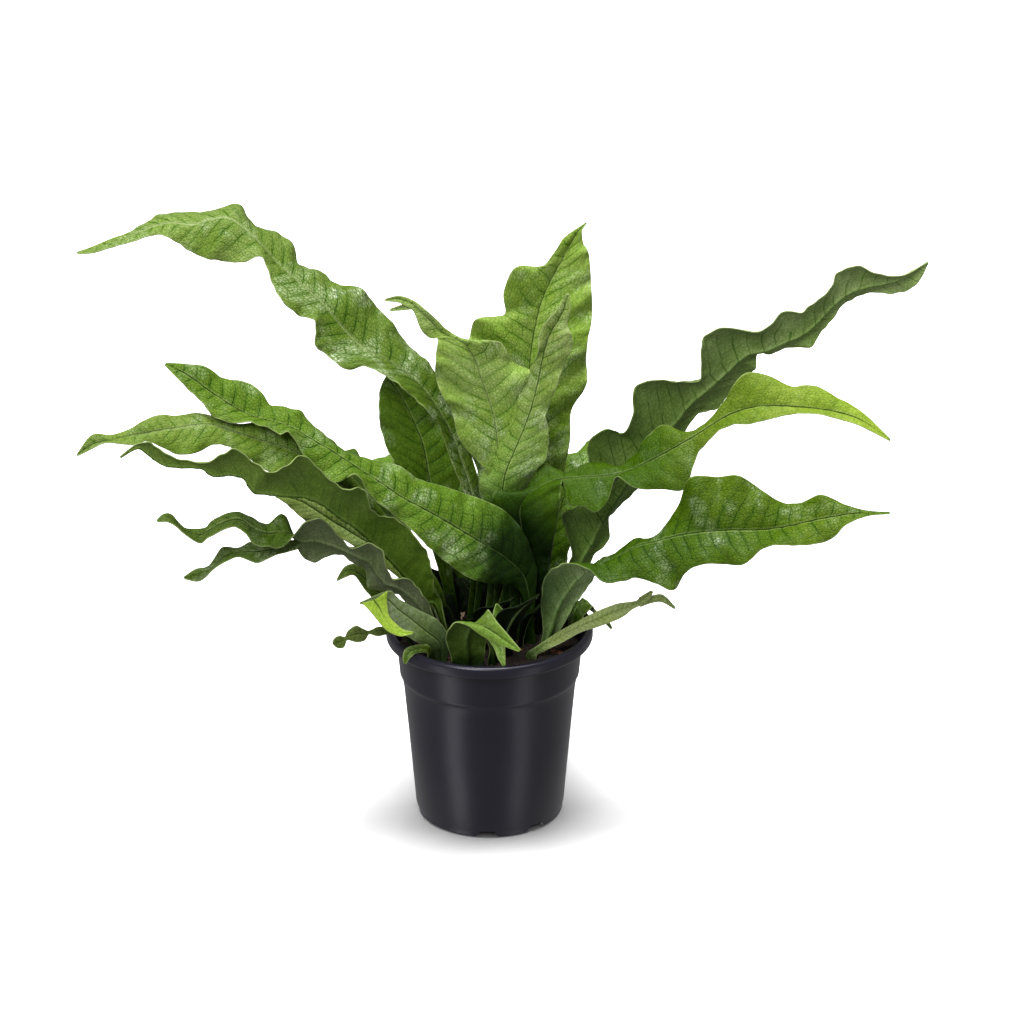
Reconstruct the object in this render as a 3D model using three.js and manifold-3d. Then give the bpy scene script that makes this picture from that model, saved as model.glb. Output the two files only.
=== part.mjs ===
// A potted crocodile fern: strap-like fronds with waved margins, standing in soil in a plastic
// nursery pot. Units are millimetres, +Z is up, and the origin is the centre of the pot's base.
//
// Each frond that the reference view shows is given by rungs: where its midrib and its two
// margins stand in that view, and how deep each lies. at() turns such a place into millimetres.
// The fronds on the far side are grown by a rule instead.

import * as THREE from 'three';
import { mergeVertices } from 'three/addons/utils/BufferGeometryUtils.js';
import Module from 'manifold-3d';

const wasm = await Module();
wasm.setup();

// ---------- driving dimensions (mm) ----------
const RIM_RADIUS = 70;            // outside of the rolled rim
const RIM_INNER_RADIUS = 65;
const POT_HEIGHT = 136.5;
const BEAD_HEIGHT = 9;            // the rolled rim's band
const BASE_RADIUS = 50;
const SHOULDER_Z = 98;            // top of the body, where it steps out to the collar
const SHOULDER_HEIGHT = 5.5;      // of the step itself
const WALL = 1.8;
const FLOOR = 2.2;
const BODY_TOP_RADIUS = 58.7;     // outside of the body just under the shoulder
const COLLAR_FOOT_RADIUS = 61;
const COLLAR_TOP_RADIUS = 63.2;
const BASE_ROUND = 2;             // rounding of the base's edge
const RIM_ROUND = 2.6;            // rounding of the rim's outer top edge
const POT_SIDES = 56;
const DRAIN_PAIRS = 3;            // the drain notches stand in pairs round the base
const DRAIN_SPREAD = 41;          // degrees between the two of a pair
const DRAIN_TURN = -71.5;         // degrees, the middle of the first pair
const DRAIN_FOOT_WIDTH = 17;      // a notch is widest where it meets the ground
const DRAIN_TOP_WIDTH = 9;
const DRAIN_HEIGHT = 3.6;
const DRAIN_REACH = 12;           // how far a notch runs in from the base's edge

const SOIL_TOP = 122;             // level of the soil at the pot's wall
const SOIL_DOME = 3;              // extra height in the middle
const SOIL_LUMP = 0.8;            // height of its broad lumps
const SOIL_RIPPLE = 0.5;          // height of the ripples across them
const SOIL_RINGS = [52, 36, 18];  // radii of the rings of points in its top
const SOIL_SIDES = 32;
const FIT_GAP = 0.35;             // clearance between pieces that touch
const HOLE_RADIUS = 3.1;          // plain hole in the soil for one stipe
const HOLE_DEPTH = 13;
const HOLE_SIDES = 8;
const STIPE_DEPTH = 12;           // how deep a stipe stands in its hole
const STIPE_CLEAR = 3;            // height above the soil of a stipe's second rung
const STIPE_HALF_WIDTH = 2.1;

const BLADE_THICKNESS = 0.9;
const KEEL_AT_STIPE = 1.5;        // extra depth of the midrib under the blade, at the soil
const KEEL_AT_TIP = 0.3;
const TIP_HALF_WIDTH = 0.8;
const ARCH = 0.09;                // rise of each half of a blade, as a share of its width

// ---------- the reference view ----------
const VIEW_FOCAL = 3697.8;        // pixels
const VIEW_CENTRE = 512;          // pixels, the same across and down
const VIEW_DISTANCE = 2467;       // mm from the lens to the aim point
const VIEW_AIM_X = 15.2;          // mm
const VIEW_AIM_Z = 219;           // mm
const VIEW_RISE = THREE.MathUtils.degToRad(23);

const COLOURS = { fresh: 0x5f9a33, deep: 0x3f7430, lime: 0x9cbf5a };
const SOIL_COLOUR = 0x2c211a;
const POT_COLOUR = 0x23262f;
// Rung rows: midrib px, py, depth in mm, then for the left and for the right margin px, py and
// how many mm it lies behind the midrib. Left is the left hand of one who walks from the foot to
// the tip on the upper face. Roots are where a stipe enters the soil, in mm.
const TRACED_FRONDS = [
  {
    name: 'frond_long_left', colour: 'fresh', root: [-12, 16],
    rungs: [
      [478, 560, 14, 472, 558, -2, 484, 560, 2],
      [473, 500, 12, 466, 500, -3, 481, 498, 3],
      [462, 462, 12, 452, 463, -4, 472, 458, 4],
      [449, 430, 12, 438, 425, -8, 461, 430, 6],
      [430, 398, 14, 414, 398, -14, 446, 400, 10],
      [408, 374, 16, 392, 380, -16, 432, 367, 12],
      [385, 360, 18, 368, 367, -16, 410, 347, 14],
      [366, 350, 20, 346, 369, -16, 392, 323, 16],
      [350, 336, 22, 327, 355, -16, 376, 306, 16],
      [336, 320, 22, 315, 344, -16, 360, 288, 14],
      [322, 303, 24, 315, 321, -18, 336, 284, 14],
      [305, 288, 26, 296, 314, -16, 320, 271, 16],
      [288, 273, 28, 277, 293, -16, 299, 265, 18],
      [275, 261, 30, 270, 277, -14, 293, 244, 16],
      [262, 246, 31, 262, 257, -12, 274, 232, 18],
      [247, 231, 32, 243, 262, -10, 252, 224, 20],
      [228, 218, 33, 222, 261, -8, 238, 204, 20],
      [208, 220, 34, 203, 257, -8, 210, 212, 20],
      [192, 225, 34, 188, 250, -8, 188, 212, 16],
      [172, 223, 34, 172, 239, -8, 160, 215, 12],
      [152, 227, 33, 154, 235, -6, 145, 223, 8],
      [132, 235, 32, 132, 242, -6, 128, 233, 5],
      [110, 243, 31, 110, 248, -4, 111, 239, 3],
      [92, 249, 30, 93, 253, -2, 92, 247, 2],
      [77, 253, 30, 77, 253, 0, 77, 253, 0],
    ],
  },
  {
    name: 'frond_back_left_upright', colour: 'deep', root: [-24, 26],
    rungs: [
      [446, 575, 26, 440, 575, -2, 452, 575, 2],
      [437, 520, 26, 420, 515, -4, 450, 515, 4],
      [429, 478, 27, 396, 466, -6, 461, 478, 6],
      [423, 446, 29, 387, 448, -8, 456, 450, 8],
      [416, 428, 31, 381, 428, -8, 445, 430, 8],
      [407, 408, 33, 379, 408, -8, 436, 405, 10],
      [398, 393, 35, 380, 392, -6, 420, 388, 8],
      [391, 383, 37, 383, 382, -3, 402, 376, 5],
      [388, 375, 38, 388, 375, 0, 388, 375, 0],
    ],
  },
  {
    name: 'frond_tall_centre', colour: 'fresh', root: [8, 34],
    rungs: [
      [520, 560, 36, 508, 560, -2, 532, 560, 2],
      [525, 500, 38, 500, 495, -4, 556, 500, -2],
      [528, 445, 40, 495, 440, -6, 569, 445, -6],
      [529, 412, 41, 484, 405, -8, 571, 411, -8],
      [529, 385, 42, 474, 378, -8, 586, 385, -8],
      [530, 360, 43, 468, 352, -10, 586, 358, -8],
      [533, 338, 44, 470, 336, -10, 588, 337, -8],
      [536, 322, 45, 477, 319, -10, 591, 324, -8],
      [540, 306, 46, 504, 315, -4, 592, 306, -8],
      [546, 290, 47, 504, 292, -6, 591, 286, -6],
      [554, 274, 48, 516, 267, -6, 590, 268, -4],
      [562, 260, 48, 540, 268, -4, 588, 252, -4],
      [569, 246, 49, 553, 254, -4, 583, 243, -3],
      [577, 233, 49, 565, 237, -2, 582, 231, -2],
      [586, 223, 50, 586, 223, 0, 586, 223, 0],
    ],
  },
  {
    name: 'frond_forked_centre', colour: 'fresh', root: [0, 12],
    rungs: [
      [497, 560, 13, 490, 560, -2, 504, 560, 2],
      [498, 500, 11, 486, 500, -3, 512, 500, 3],
      [499, 465, 10, 487, 473, -4, 520, 462, 4],
      [497, 440, 10, 461, 442, -6, 535, 435, 4],
      [494, 418, 10, 453, 415, -6, 540, 410, 4],
      [488, 398, 10, 444, 399, -8, 540, 385, 4],
      [481, 378, 9, 436, 377, -8, 533, 372, 3],
      [475, 360, 9, 436, 358, -8, 513, 362, 2],
      [466, 345, 8, 438, 342, -6, 499, 342, 0],
      [453, 338, 7, 437, 338, -4, 466, 340, 0],
      [441, 332, 7, 430, 338, -3, 446, 329, -1],
      [431, 321, 6, 421, 329, -2, 438, 321, -1],
      [420, 311, 5, 414, 312, -1, 427, 311, -1],
      [410, 303, 5, 406, 306, -1, 414, 301, 0],
      [398, 299, 5, 397, 302, -1, 399, 296, 0],
      [385, 300, 5, 385, 300, 0, 385, 300, 0],
    ],
    branches: [[
      [416, 307, 5, 414, 309, -1, 419, 306, 0],
      [405, 307, 5, 404, 310, -1, 406, 304, 0],
      [390, 310, 5, 390, 310, 0, 390, 310, 0],
    ]],
  },
  {
    name: 'frond_folded_centre', colour: 'fresh', root: [15, 1],
    rungs: [
      [508, 570, 5, 502, 570, -2, 516, 570, 2],
      [502, 520, 3, 490, 520, -3, 518, 516, 3],
      [504, 480, 2, 479, 490, -5, 530, 478, 4],
      [513, 455, 1, 493, 460, -5, 546, 458, -4],
      [523, 432, 1, 500, 432, -5, 548, 430, -6],
      [531, 410, 0, 510, 408, -5, 546, 413, -6],
      [537, 388, -1, 519, 388, -4, 556, 388, -6],
      [541, 368, -2, 530, 369, -3, 563, 366, -6],
      [545, 349, -2, 539, 354, -2, 572, 347, -5],
      [550, 334, -3, 539, 337, -2, 571, 335, -4],
      [558, 320, -4, 546, 322, -2, 567, 324, -3],
      [565, 307, -5, 558, 308, -1, 570, 310, -2],
      [568, 294, -6, 568, 294, 0, 568, 294, 0],
    ],
  },
  {
    name: 'frond_broad_front_left', colour: 'fresh', root: [27, -6],
    rungs: [
      [530, 625, -8, 526, 625, 0, 534, 625, 0],
      [529, 600, -9, 524, 600, -1, 535, 598, 1],
      [523, 575, -12, 514, 586, -3, 536, 566, 3],
      [505, 557, -18, 490, 583, -6, 523, 532, 4],
      [484, 544, -26, 468, 577, -8, 504, 511, 9],
      [462, 531, -33, 448, 563, -8, 482, 500, 14],
      [440, 518, -39, 430, 548, -8, 462, 493, 16],
      [420, 507, -44, 413, 531, -8, 442, 486, 16],
      [401, 497, -48, 392, 513, -8, 420, 480, 16],
      [382, 484, -52, 373, 498, -8, 399, 466, 16],
      [364, 473, -55, 356, 475, -10, 379, 462, 16],
      [346, 461, -57, 338, 482, -12, 357, 456, 14],
      [328, 449, -59, 318, 478, -10, 340, 448, 14],
      [312, 440, -61, 303, 455, -10, 327, 436, 12],
      [297, 431, -62, 290, 433, -12, 311, 424, 12],
      [283, 425, -63, 279, 434, -12, 300, 411, 12],
      [268, 421, -64, 266, 427, -12, 284, 407, 12],
      [252, 417, -65, 249, 422, -12, 271, 405, 12],
      [238, 410, -66, 232, 423, -12, 257, 388, 12],
      [222, 400, -67, 212, 415, -10, 240, 381, 12],
      [206, 389, -68, 202, 402, -8, 222, 378, 10],
      [193, 379, -69, 190, 391, -7, 206, 367, 8],
      [180, 371, -70, 179, 380, -4, 186, 364, 5],
      [165, 364, -71, 165, 364, 0, 165, 364, 0],
    ],
  },
  {
    name: 'frond_folded_left', colour: 'fresh', root: [-27, -12],
    rungs: [
      [437, 606, -15, 441, 602, -3, 441, 606, 3],
      [424, 600, -19, 435, 592, -5, 432, 598, 5],
      [408, 580, -26, 432, 572, -8, 420, 576, 8],
      [390, 560, -34, 424, 548, -8, 402, 552, 12],
      [373, 543, -42, 398, 520, -10, 385, 532, 14],
      [356, 528, -51, 374, 513, -10, 368, 518, 14],
      [338, 516, -61, 364, 490, -10, 350, 505, 16],
      [320, 503, -71, 341, 488, -10, 330, 494, 12],
      [303, 497, -77, 320, 470, -10, 312, 482, 12],
      [286, 496, -82, 304, 456, -10, 294, 478, 12],
      [268, 494, -87, 285, 466, -10, 275, 479, 16],
      [254, 492, -91, 270, 473, -10, 260, 481, 14],
      [243, 478, -94, 253, 461, -8, 248, 468, 14],
      [228, 475, -97, 236, 450, -8, 232, 461, 12],
      [214, 476, -99, 222, 454, -8, 216, 464, 10],
      [200, 468, -101, 205, 463, -6, 203, 464, 6],
      [180, 467, -103, 180, 459, -4, 182, 462, 4],
      [163, 465, -104, 163, 452, -4, 165, 457, 4],
      [150, 456, -105, 150, 443, -3, 151, 447, 3],
      [138, 448, -106, 137, 444, -2, 139, 446, 2],
      [120, 457, -107, 120, 457, 0, 120, 457, 0],
    ],
  },
  {
    name: 'frond_pale_left', colour: 'lime', root: [-31, 5],
    rungs: [
      [437, 590, 0, 435, 594, -2, 440, 586, 2],
      [400, 545, -14, 396, 553, -4, 404, 537, 4],
      [362, 503, -34, 355, 513, -6, 368, 495, 6],
      [330, 475, -52, 322, 488, -8, 337, 463, 6],
      [300, 454, -63, 290, 476, -8, 306, 438, 6],
      [277, 445, -68, 266, 470, -10, 285, 430, 6],
      [254, 438, -72, 246, 456, -10, 262, 423, 6],
      [232, 431, -75, 227, 446, -8, 236, 424, 6],
      [212, 425, -78, 212, 445, -8, 214, 417, 6],
      [195, 425, -80, 195, 453, -8, 196, 413, 8],
      [178, 428, -82, 177, 454, -8, 178, 416, 8],
      [162, 430, -84, 160, 446, -6, 160, 415, 6],
      [147, 433, -86, 146, 441, -4, 145, 420, 4],
      [130, 436, -87, 134, 445, -4, 130, 429, 3],
      [112, 440, -88, 106, 443, -3, 112, 435, 2],
      [94, 444, -89, 92, 449, -2, 92, 435, 2],
      [77, 455, -90, 77, 455, 0, 77, 455, 0],
    ],
  },
  {
    name: 'frond_low_forked_left', colour: 'deep', root: [-36, -24],
    rungs: [
      [437, 640, -27, 438, 634, -2, 436, 646, 2],
      [427, 619, -31, 431, 609, -3, 422, 625, 3],
      [414, 600, -35, 421, 592, -6, 408, 606, 6],
      [399, 588, -39, 408, 579, -8, 398, 594, 8],
      [386, 583, -42, 392, 578, -8, 384, 591, 10],
      [376, 573, -45, 386, 566, -10, 368, 586, 10],
      [369, 562, -48, 382, 550, -10, 366, 571, 10],
      [358, 557, -51, 368, 544, -10, 355, 564, 8],
      [345, 551, -54, 351, 548, -6, 344, 556, 6],
      [330, 545, -58, 336, 533, -10, 331, 555, 8],
      [314, 541, -62, 320, 518, -12, 313, 562, 8],
      [301, 541, -66, 303, 525, -8, 300, 553, 6],
      [285, 532, -70, 284, 546, -8, 284, 515, 8],
      [268, 534, -74, 269, 547, -8, 268, 524, 8],
      [253, 529, -77, 255, 544, -8, 254, 519, 8],
      [240, 520, -80, 240, 529, -6, 238, 512, 6],
      [226, 522, -82, 228, 528, -6, 223, 515, 6],
      [212, 529, -84, 210, 537, -5, 211, 522, 5],
      [200, 535, -86, 200, 543, -4, 204, 528, 4],
      [186, 531, -88, 187, 536, -4, 184, 528, 4],
      [173, 520, -90, 175, 526, -3, 172, 515, 3],
      [165, 517, -91, 167, 522, -2, 164, 514, 2],
      [157, 521, -92, 157, 521, 0, 157, 521, 0],
    ],
    branches: [[
      [300, 544, -64, 298, 549, -3, 301, 540, 3],
      [285, 547, -65, 287, 552, -4, 284, 541, 4],
      [270, 550, -66, 273, 556, -5, 268, 543, 5],
      [255, 552, -68, 257, 563, -5, 251, 542, 5],
      [240, 552, -70, 240, 557, -4, 238, 548, 4],
      [226, 556, -72, 227, 561, -4, 222, 548, 4],
      [213, 566, -74, 214, 569, -3, 209, 566, 3],
      [199, 574, -76, 200, 581, -3, 196, 569, 3],
      [184, 578, -78, 184, 578, 0, 184, 578, 0],
    ]],
  },
  {
    name: 'frond_small_dark_left', colour: 'deep', root: [-44, 2],
    rungs: [
      [412, 622, -4, 410, 626, -2, 415, 618, 2],
      [390, 603, -12, 386, 610, -4, 396, 596, 4],
      [372, 586, -20, 367, 592, -4, 378, 577, 4],
      [358, 573, -26, 355, 576, -4, 361, 565, 4],
      [347, 571, -30, 346, 577, -3, 346, 566, 3],
      [337, 580, -33, 337, 580, 0, 337, 580, 0],
    ],
  },
  {
    name: 'frond_pale_small_left', colour: 'lime', root: [-32, 18],
    rungs: [
      [432, 600, 14, 429, 604, -2, 436, 596, 2],
      [385, 555, -2, 380, 563, -4, 390, 546, 4],
      [350, 532, -14, 344, 540, -6, 357, 522, 6],
      [330, 520, -22, 322, 530, -8, 338, 510, 6],
      [315, 510, -28, 305, 520, -8, 318, 499, 6],
      [302, 502, -33, 292, 509, -6, 304, 492, 5],
      [289, 498, -37, 284, 502, -4, 290, 491, 4],
      [276, 496, -41, 276, 496, 0, 276, 496, 0],
    ],
  },
  {
    name: 'frond_lime_left', colour: 'lime', root: [-32, -35],
    rungs: [
      [438, 644, -38, 436, 649, -2, 441, 638, 2],
      [421, 628, -43, 414, 634, -5, 428, 616, 4],
      [405, 613, -47, 399, 626, -6, 408, 603, 4],
      [391, 603, -50, 386, 620, -5, 393, 592, 4],
      [376, 601, -53, 373, 612, -3, 379, 592, 3],
      [360, 603, -55, 360, 603, 0, 360, 603, 0],
    ],
    branches: [[
      [384, 604, -53, 378, 614, -3, 392, 600, 2],
      [391, 617, -57, 383, 622, -3, 396, 614, 2],
      [400, 628, -60, 394, 633, -2, 402, 626, 2],
      [413, 633, -62, 413, 633, 0, 413, 633, 0],
    ]],
  },
  {
    name: 'frond_beaded_left', colour: 'deep', root: [-50, -20],
    rungs: [
      [404, 634, -22, 404, 637, -1, 404, 631, 1],
      [390, 633, -24, 390, 635, -1, 390, 631, 1],
      [377, 632, -26, 376, 637, -2, 377, 627, 2],
      [367, 633, -28, 366, 636, -1, 367, 630, 1],
      [357, 634, -30, 357, 642, -3, 358, 626, 3],
      [349, 638, -32, 350, 641, -1, 347, 636, 1],
      [342, 642, -33, 343, 647, -2, 341, 638, 2],
      [335, 642, -34, 335, 642, 0, 335, 642, 0],
    ],
  },
  {
    name: 'frond_curled_rim_left', colour: 'lime', root: [-39, -38],
    rungs: [
      [428, 650, -44, 427, 653, -1, 429, 646, 1],
      [418, 649, -47, 417, 653, -1, 417, 645, 1],
      [410, 652, -50, 412, 656, -1, 406, 649, 1],
      [406, 658, -52, 409, 659, 0, 403, 657, 0],
      [405, 664, -53, 405, 664, 0, 405, 664, 0],
    ],
  },
  {
    name: 'frond_folded_front', colour: 'lime', root: [-14, -44],
    rungs: [
      [468, 655, -46, 484, 656, 2, 451, 656, -2],
      [467, 640, -48, 486, 640, 4, 446, 638, -4],
      [472, 626, -52, 488, 622, 4, 452, 625, -4],
      [480, 625, -56, 488, 610, 2, 466, 625, -2],
      [492, 631, -60, 497, 622, 0, 481, 635, 0],
      [505, 640, -64, 508, 635, 0, 499, 644, 0],
      [520, 651, -68, 520, 651, 0, 520, 651, 0],
    ],
  },
  {
    name: 'frond_drooping_front', colour: 'lime', root: [3, -38],
    rungs: [
      [494, 650, -42, 498, 650, 1, 490, 650, -1],
      [492, 641, -46, 498, 640, 1, 486, 638, -1],
      [499, 648, -52, 504, 645, 1, 494, 648, -1],
      [502, 657, -56, 505, 656, 1, 498, 658, -1],
      [504, 666, -59, 504, 666, 0, 504, 666, 0],
    ],
  },
  {
    name: 'frond_small_front', colour: 'lime', root: [8, -24],
    rungs: [
      [503, 638, -26, 499, 638, -1, 507, 638, 1],
      [503, 628, -27, 498, 626, -2, 508, 628, 1],
      [501, 617, -28, 493, 616, -2, 507, 616, 1],
      [497, 604, -29, 497, 604, 0, 497, 604, 0],
    ],
  },
  {
    name: 'frond_low_right', colour: 'lime', root: [28, -30],
    rungs: [
      [538, 650, -29, 536, 647, 1, 540, 653, -1],
      [558, 638, -25, 557, 633, 3, 561, 643, -3],
      [578, 627, -20, 577, 622, 4, 581, 632, -4],
      [599, 618, -17, 596, 612, 3, 603, 625, -3],
      [619, 610, -16, 617, 604, 3, 622, 617, -3],
      [634, 605, -16, 636, 601, 2, 633, 609, -2],
      [644, 598, -16, 640, 597, 1, 648, 601, -1],
      [652, 591, -16, 652, 591, 0, 652, 591, 0],
    ],
    branches: [[
      [640, 603, -16, 640, 600, 1, 640, 607, -1],
      [651, 599, -16, 651, 596, 1, 651, 603, -1],
      [663, 598, -16, 663, 595, 1, 662, 602, -1],
      [675, 608, -16, 675, 608, 0, 675, 608, 0],
    ]],
  },
  {
    name: 'frond_broad_right', colour: 'fresh', root: [38, -14],
    rungs: [
      [550, 632, -15, 558, 634, 2, 543, 630, -2],
      [558, 608, -18, 575, 604, 6, 541, 602, -6],
      [570, 588, -22, 590, 584, 10, 545, 578, -10],
      [584, 573, -27, 600, 568, 14, 560, 565, -14],
      [600, 565, -32, 602, 559, 16, 585, 567, -16],
      [618, 557, -37, 616, 556, 18, 606, 583, -14],
      [638, 546, -40, 634, 539, 18, 634, 578, -12],
      [658, 541, -43, 650, 540, 16, 655, 583, -12],
      [677, 536, -46, 668, 522, 16, 674, 590, -10],
      [694, 533, -48, 680, 502, 14, 686, 572, -12],
      [711, 531, -50, 690, 478, 12, 704, 564, -12],
      [732, 530, -52, 718, 477, 12, 724, 564, -12],
      [752, 530, -54, 739, 476, 12, 744, 564, -12],
      [772, 529, -56, 760, 489, 12, 764, 548, -12],
      [792, 526, -58, 780, 502, 12, 784, 545, -12],
      [812, 521, -60, 800, 503, 10, 806, 545, -10],
      [832, 517, -62, 822, 495, 9, 829, 540, -9],
      [852, 514, -64, 845, 505, 6, 848, 524, -6],
      [870, 513, -65, 868, 511, 2, 868, 516, -2],
      [890, 513, -66, 890, 513, 0, 890, 513, 0],
    ],
  },
  {
    name: 'frond_lime_right', colour: 'lime', root: [30, 8],
    rungs: [
      [530, 620, 5, 526, 620, 1, 534, 620, -1],
      [529, 590, 1, 518, 588, 3, 541, 588, -3],
      [528, 562, -3, 505, 555, 1, 549, 565, -4],
      [524, 538, -7, 497, 530, 1, 553, 540, -5],
      [520, 514, -9, 492, 506, 1, 559, 510, -6],
      [524, 499, -9, 497, 491, 1, 560, 494, -8],
      [537, 490, -8, 518, 496, 4, 561, 484, -8],
      [552, 482, -6, 531, 484, 7, 563, 482, -6],
      [564, 479, -5, 543, 463, 12, 566, 497, -8],
      [577, 478, -4, 558, 474, 12, 570, 505, -10],
      [590, 477, -4, 573, 470, 14, 582, 506, -12],
      [604, 476, -5, 587, 463, 14, 596, 512, -12],
      [617, 474, -6, 603, 463, 14, 607, 501, -12],
      [630, 471, -7, 617, 468, 12, 616, 478, -10],
      [643, 465, -9, 634, 455, 12, 636, 488, -12],
      [660, 456, -11, 648, 436, 12, 662, 489, -12],
      [678, 446, -13, 664, 425, 12, 685, 488, -10],
      [697, 435, -15, 687, 433, 8, 697, 456, -10],
      [714, 424, -17, 707, 422, 6, 712, 437, -8],
      [730, 415, -19, 722, 404, 6, 731, 425, -8],
      [750, 408, -21, 743, 375, 8, 749, 424, -8],
      [772, 406, -23, 766, 375, 8, 770, 419, -8],
      [795, 407, -25, 790, 386, 8, 794, 414, -6],
      [818, 409, -27, 815, 386, 8, 816, 414, -6],
      [840, 413, -29, 838, 398, 6, 838, 419, -5],
      [862, 421, -31, 863, 413, 4, 860, 426, -4],
      [890, 440, -33, 890, 440, 0, 890, 440, 0],
    ],
  },
  {
    name: 'frond_long_right', colour: 'deep', root: [44, 5],
    rungs: [
      [556, 615, 6, 562, 616, 2, 550, 612, -2],
      [568, 588, 8, 578, 590, 6, 558, 582, -4],
      [582, 560, 10, 594, 556, 8, 572, 556, -6],
      [592, 543, 12, 609, 539, 10, 566, 532, -8],
      [601, 526, 14, 609, 518, 12, 564, 514, -8],
      [613, 506, 16, 622, 504, 10, 584, 500, 0],
      [627, 484, 18, 640, 486, 8, 588, 464, -2],
      [638, 469, 19, 652, 472, 8, 589, 442, -4],
      [648, 456, 20, 664, 455, 8, 607, 429, -8],
      [657, 445, 21, 675, 443, 8, 623, 434, -10],
      [666, 434, 21, 685, 430, 8, 633, 414, -12],
      [678, 420, 22, 700, 413, 10, 634, 390, -12],
      [690, 405, 23, 716, 409, 10, 652, 380, -12],
      [705, 392, 24, 728, 396, 10, 678, 382, -12],
      [722, 377, 25, 745, 379, 10, 700, 379, -10],
      [738, 362, 26, 755, 368, 8, 701, 350, -12],
      [750, 354, 27, 758, 353, 6, 706, 335, -12],
      [765, 351, 28, 771, 354, 4, 728, 328, -12],
      [782, 344, 29, 786, 348, 5, 762, 331, -12],
      [800, 336, 30, 811, 346, 6, 783, 312, -12],
      [813, 327, 31, 821, 332, 5, 802, 312, -10],
      [824, 315, 32, 829, 323, 5, 815, 302, -10],
      [836, 303, 33, 842, 306, 5, 830, 289, -10],
      [850, 293, 34, 852, 299, 6, 838, 273, -10],
      [868, 287, 35, 868, 293, 6, 856, 266, -10],
      [884, 284, 36, 886, 293, 5, 878, 274, -8],
      [900, 279, 37, 904, 292, 4, 898, 276, -4],
      [914, 270, 38, 919, 281, 2, 912, 272, -2],
      [928, 262, 38, 928, 262, 0, 928, 262, 0],
    ],
  },
];

// Fronds of the far side: foot on the soil, direction in degrees from +X towards +Y, reach
// outwards, height of the tip, half width, and how many waves each margin has.
const GROWN_FRONDS = [
  { name: 'frond_back_tall', colour: 'fresh', root: [8, 48],
    turn: 94, reach: 150, tip: 185, half: 27, waves: 6 },
  { name: 'frond_back_left', colour: 'fresh', root: [-20, 42],
    turn: 128, reach: 120, tip: 185, half: 24, waves: 6 },
  { name: 'frond_back_right', colour: 'fresh', root: [42, 32],
    turn: 44, reach: 118, tip: 205, half: 23, waves: 6 },
  { name: 'frond_back_low', colour: 'deep', root: [-2, 55],
    turn: 98, reach: 115, tip: 105, half: 20, waves: 6 },
  { name: 'frond_back_low_right', colour: 'deep', root: [22, 50],
    turn: 76, reach: 105, tip: 96, half: 19, waves: 5 },
  { name: 'frond_back_short', colour: 'lime', root: [54, 12],
    turn: 25, reach: 36, tip: 118, half: 10, waves: 3 },
  { name: 'frond_left_rear', colour: 'deep', root: [-48, 26],
    turn: 150, reach: 112, tip: 222, half: 19, waves: 5 },
];
const GROWN_RUNGS = 15;
const GROWN_CREST = 0.55;         // rise of the arch above a straight line, as a share of the reach
const GROWN_LEAN = 1.6;           // 1 leans out evenly, more leans out later
const GROWN_SWAY = 8;             // mm to either side
const GROWN_WAVE = 0.14;          // in and out, as a share of the half width
const GROWN_RUFFLE = 0.2;         // up and down, as a share of the half width
const GROWN_PHASE = 1.7;          // radians between one frond's waves and the next one's

// ---------- placing points ----------

// The point whose picture place is (px, py) and whose Y is depth.
function at(px, py, depth) {
  const sin = Math.sin(VIEW_RISE);
  const cos = Math.cos(VIEW_RISE);
  const slope = (VIEW_CENTRE - py) / VIEW_FOCAL;
  const rise = (slope * (VIEW_DISTANCE + depth * cos) - depth * sin) / (cos + slope * sin);
  const range = VIEW_DISTANCE + depth * cos - rise * sin;
  const x = VIEW_AIM_X + ((px - VIEW_CENTRE) * range) / VIEW_FOCAL;
  return new THREE.Vector3(x, depth, VIEW_AIM_Z + rise);
}

// Height of the soil's surface at a place: a low dome with soft lumps about 30 mm long.
function soilHeight(x, y) {
  const outwards = Math.hypot(x, y) / RIM_INNER_RADIUS;
  const lumps = SOIL_LUMP * Math.sin(x * 0.19 + 1) * Math.cos(y * 0.23);
  const ripples = SOIL_RIPPLE * Math.sin((x - y) * 0.31);
  return SOIL_TOP + SOIL_DOME * (1 - outwards * outwards) + lumps + ripples;
}

// The stipe's two lowest rungs: in its hole, and just above the soil.
function stipeRungs(root, firstRung) {
  const side = firstRung.right.clone().sub(firstRung.left).setZ(0).normalize();
  return [-STIPE_DEPTH, STIPE_CLEAR].map((height) => {
    const mid = new THREE.Vector3(root[0], root[1], soilHeight(root[0], root[1]) + height);
    return {
      mid,
      left: mid.clone().addScaledVector(side, -STIPE_HALF_WIDTH),
      right: mid.clone().addScaledVector(side, STIPE_HALF_WIDTH),
    };
  });
}

// A frond ends in a narrow blunt tip, set across it as the rung before.
function bluntTip(rungs) {
  const before = rungs[rungs.length - 2];
  const tip = rungs[rungs.length - 1];
  const side = before.right.clone().sub(before.left).normalize().multiplyScalar(TIP_HALF_WIDTH);
  tip.left = tip.mid.clone().sub(side);
  tip.right = tip.mid.clone().add(side);
  return rungs;
}

function rungsFromView(rows) {
  const rungs = rows.map((row) => {
    const [px, py, depth, leftX, leftY, leftBehind, rightX, rightY, rightBehind] = row;
    return {
      mid: at(px, py, depth),
      left: at(leftX, leftY, depth + leftBehind),
      right: at(rightX, rightY, depth + rightBehind),
    };
  });
  return bluntTip(rungs);
}

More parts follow.
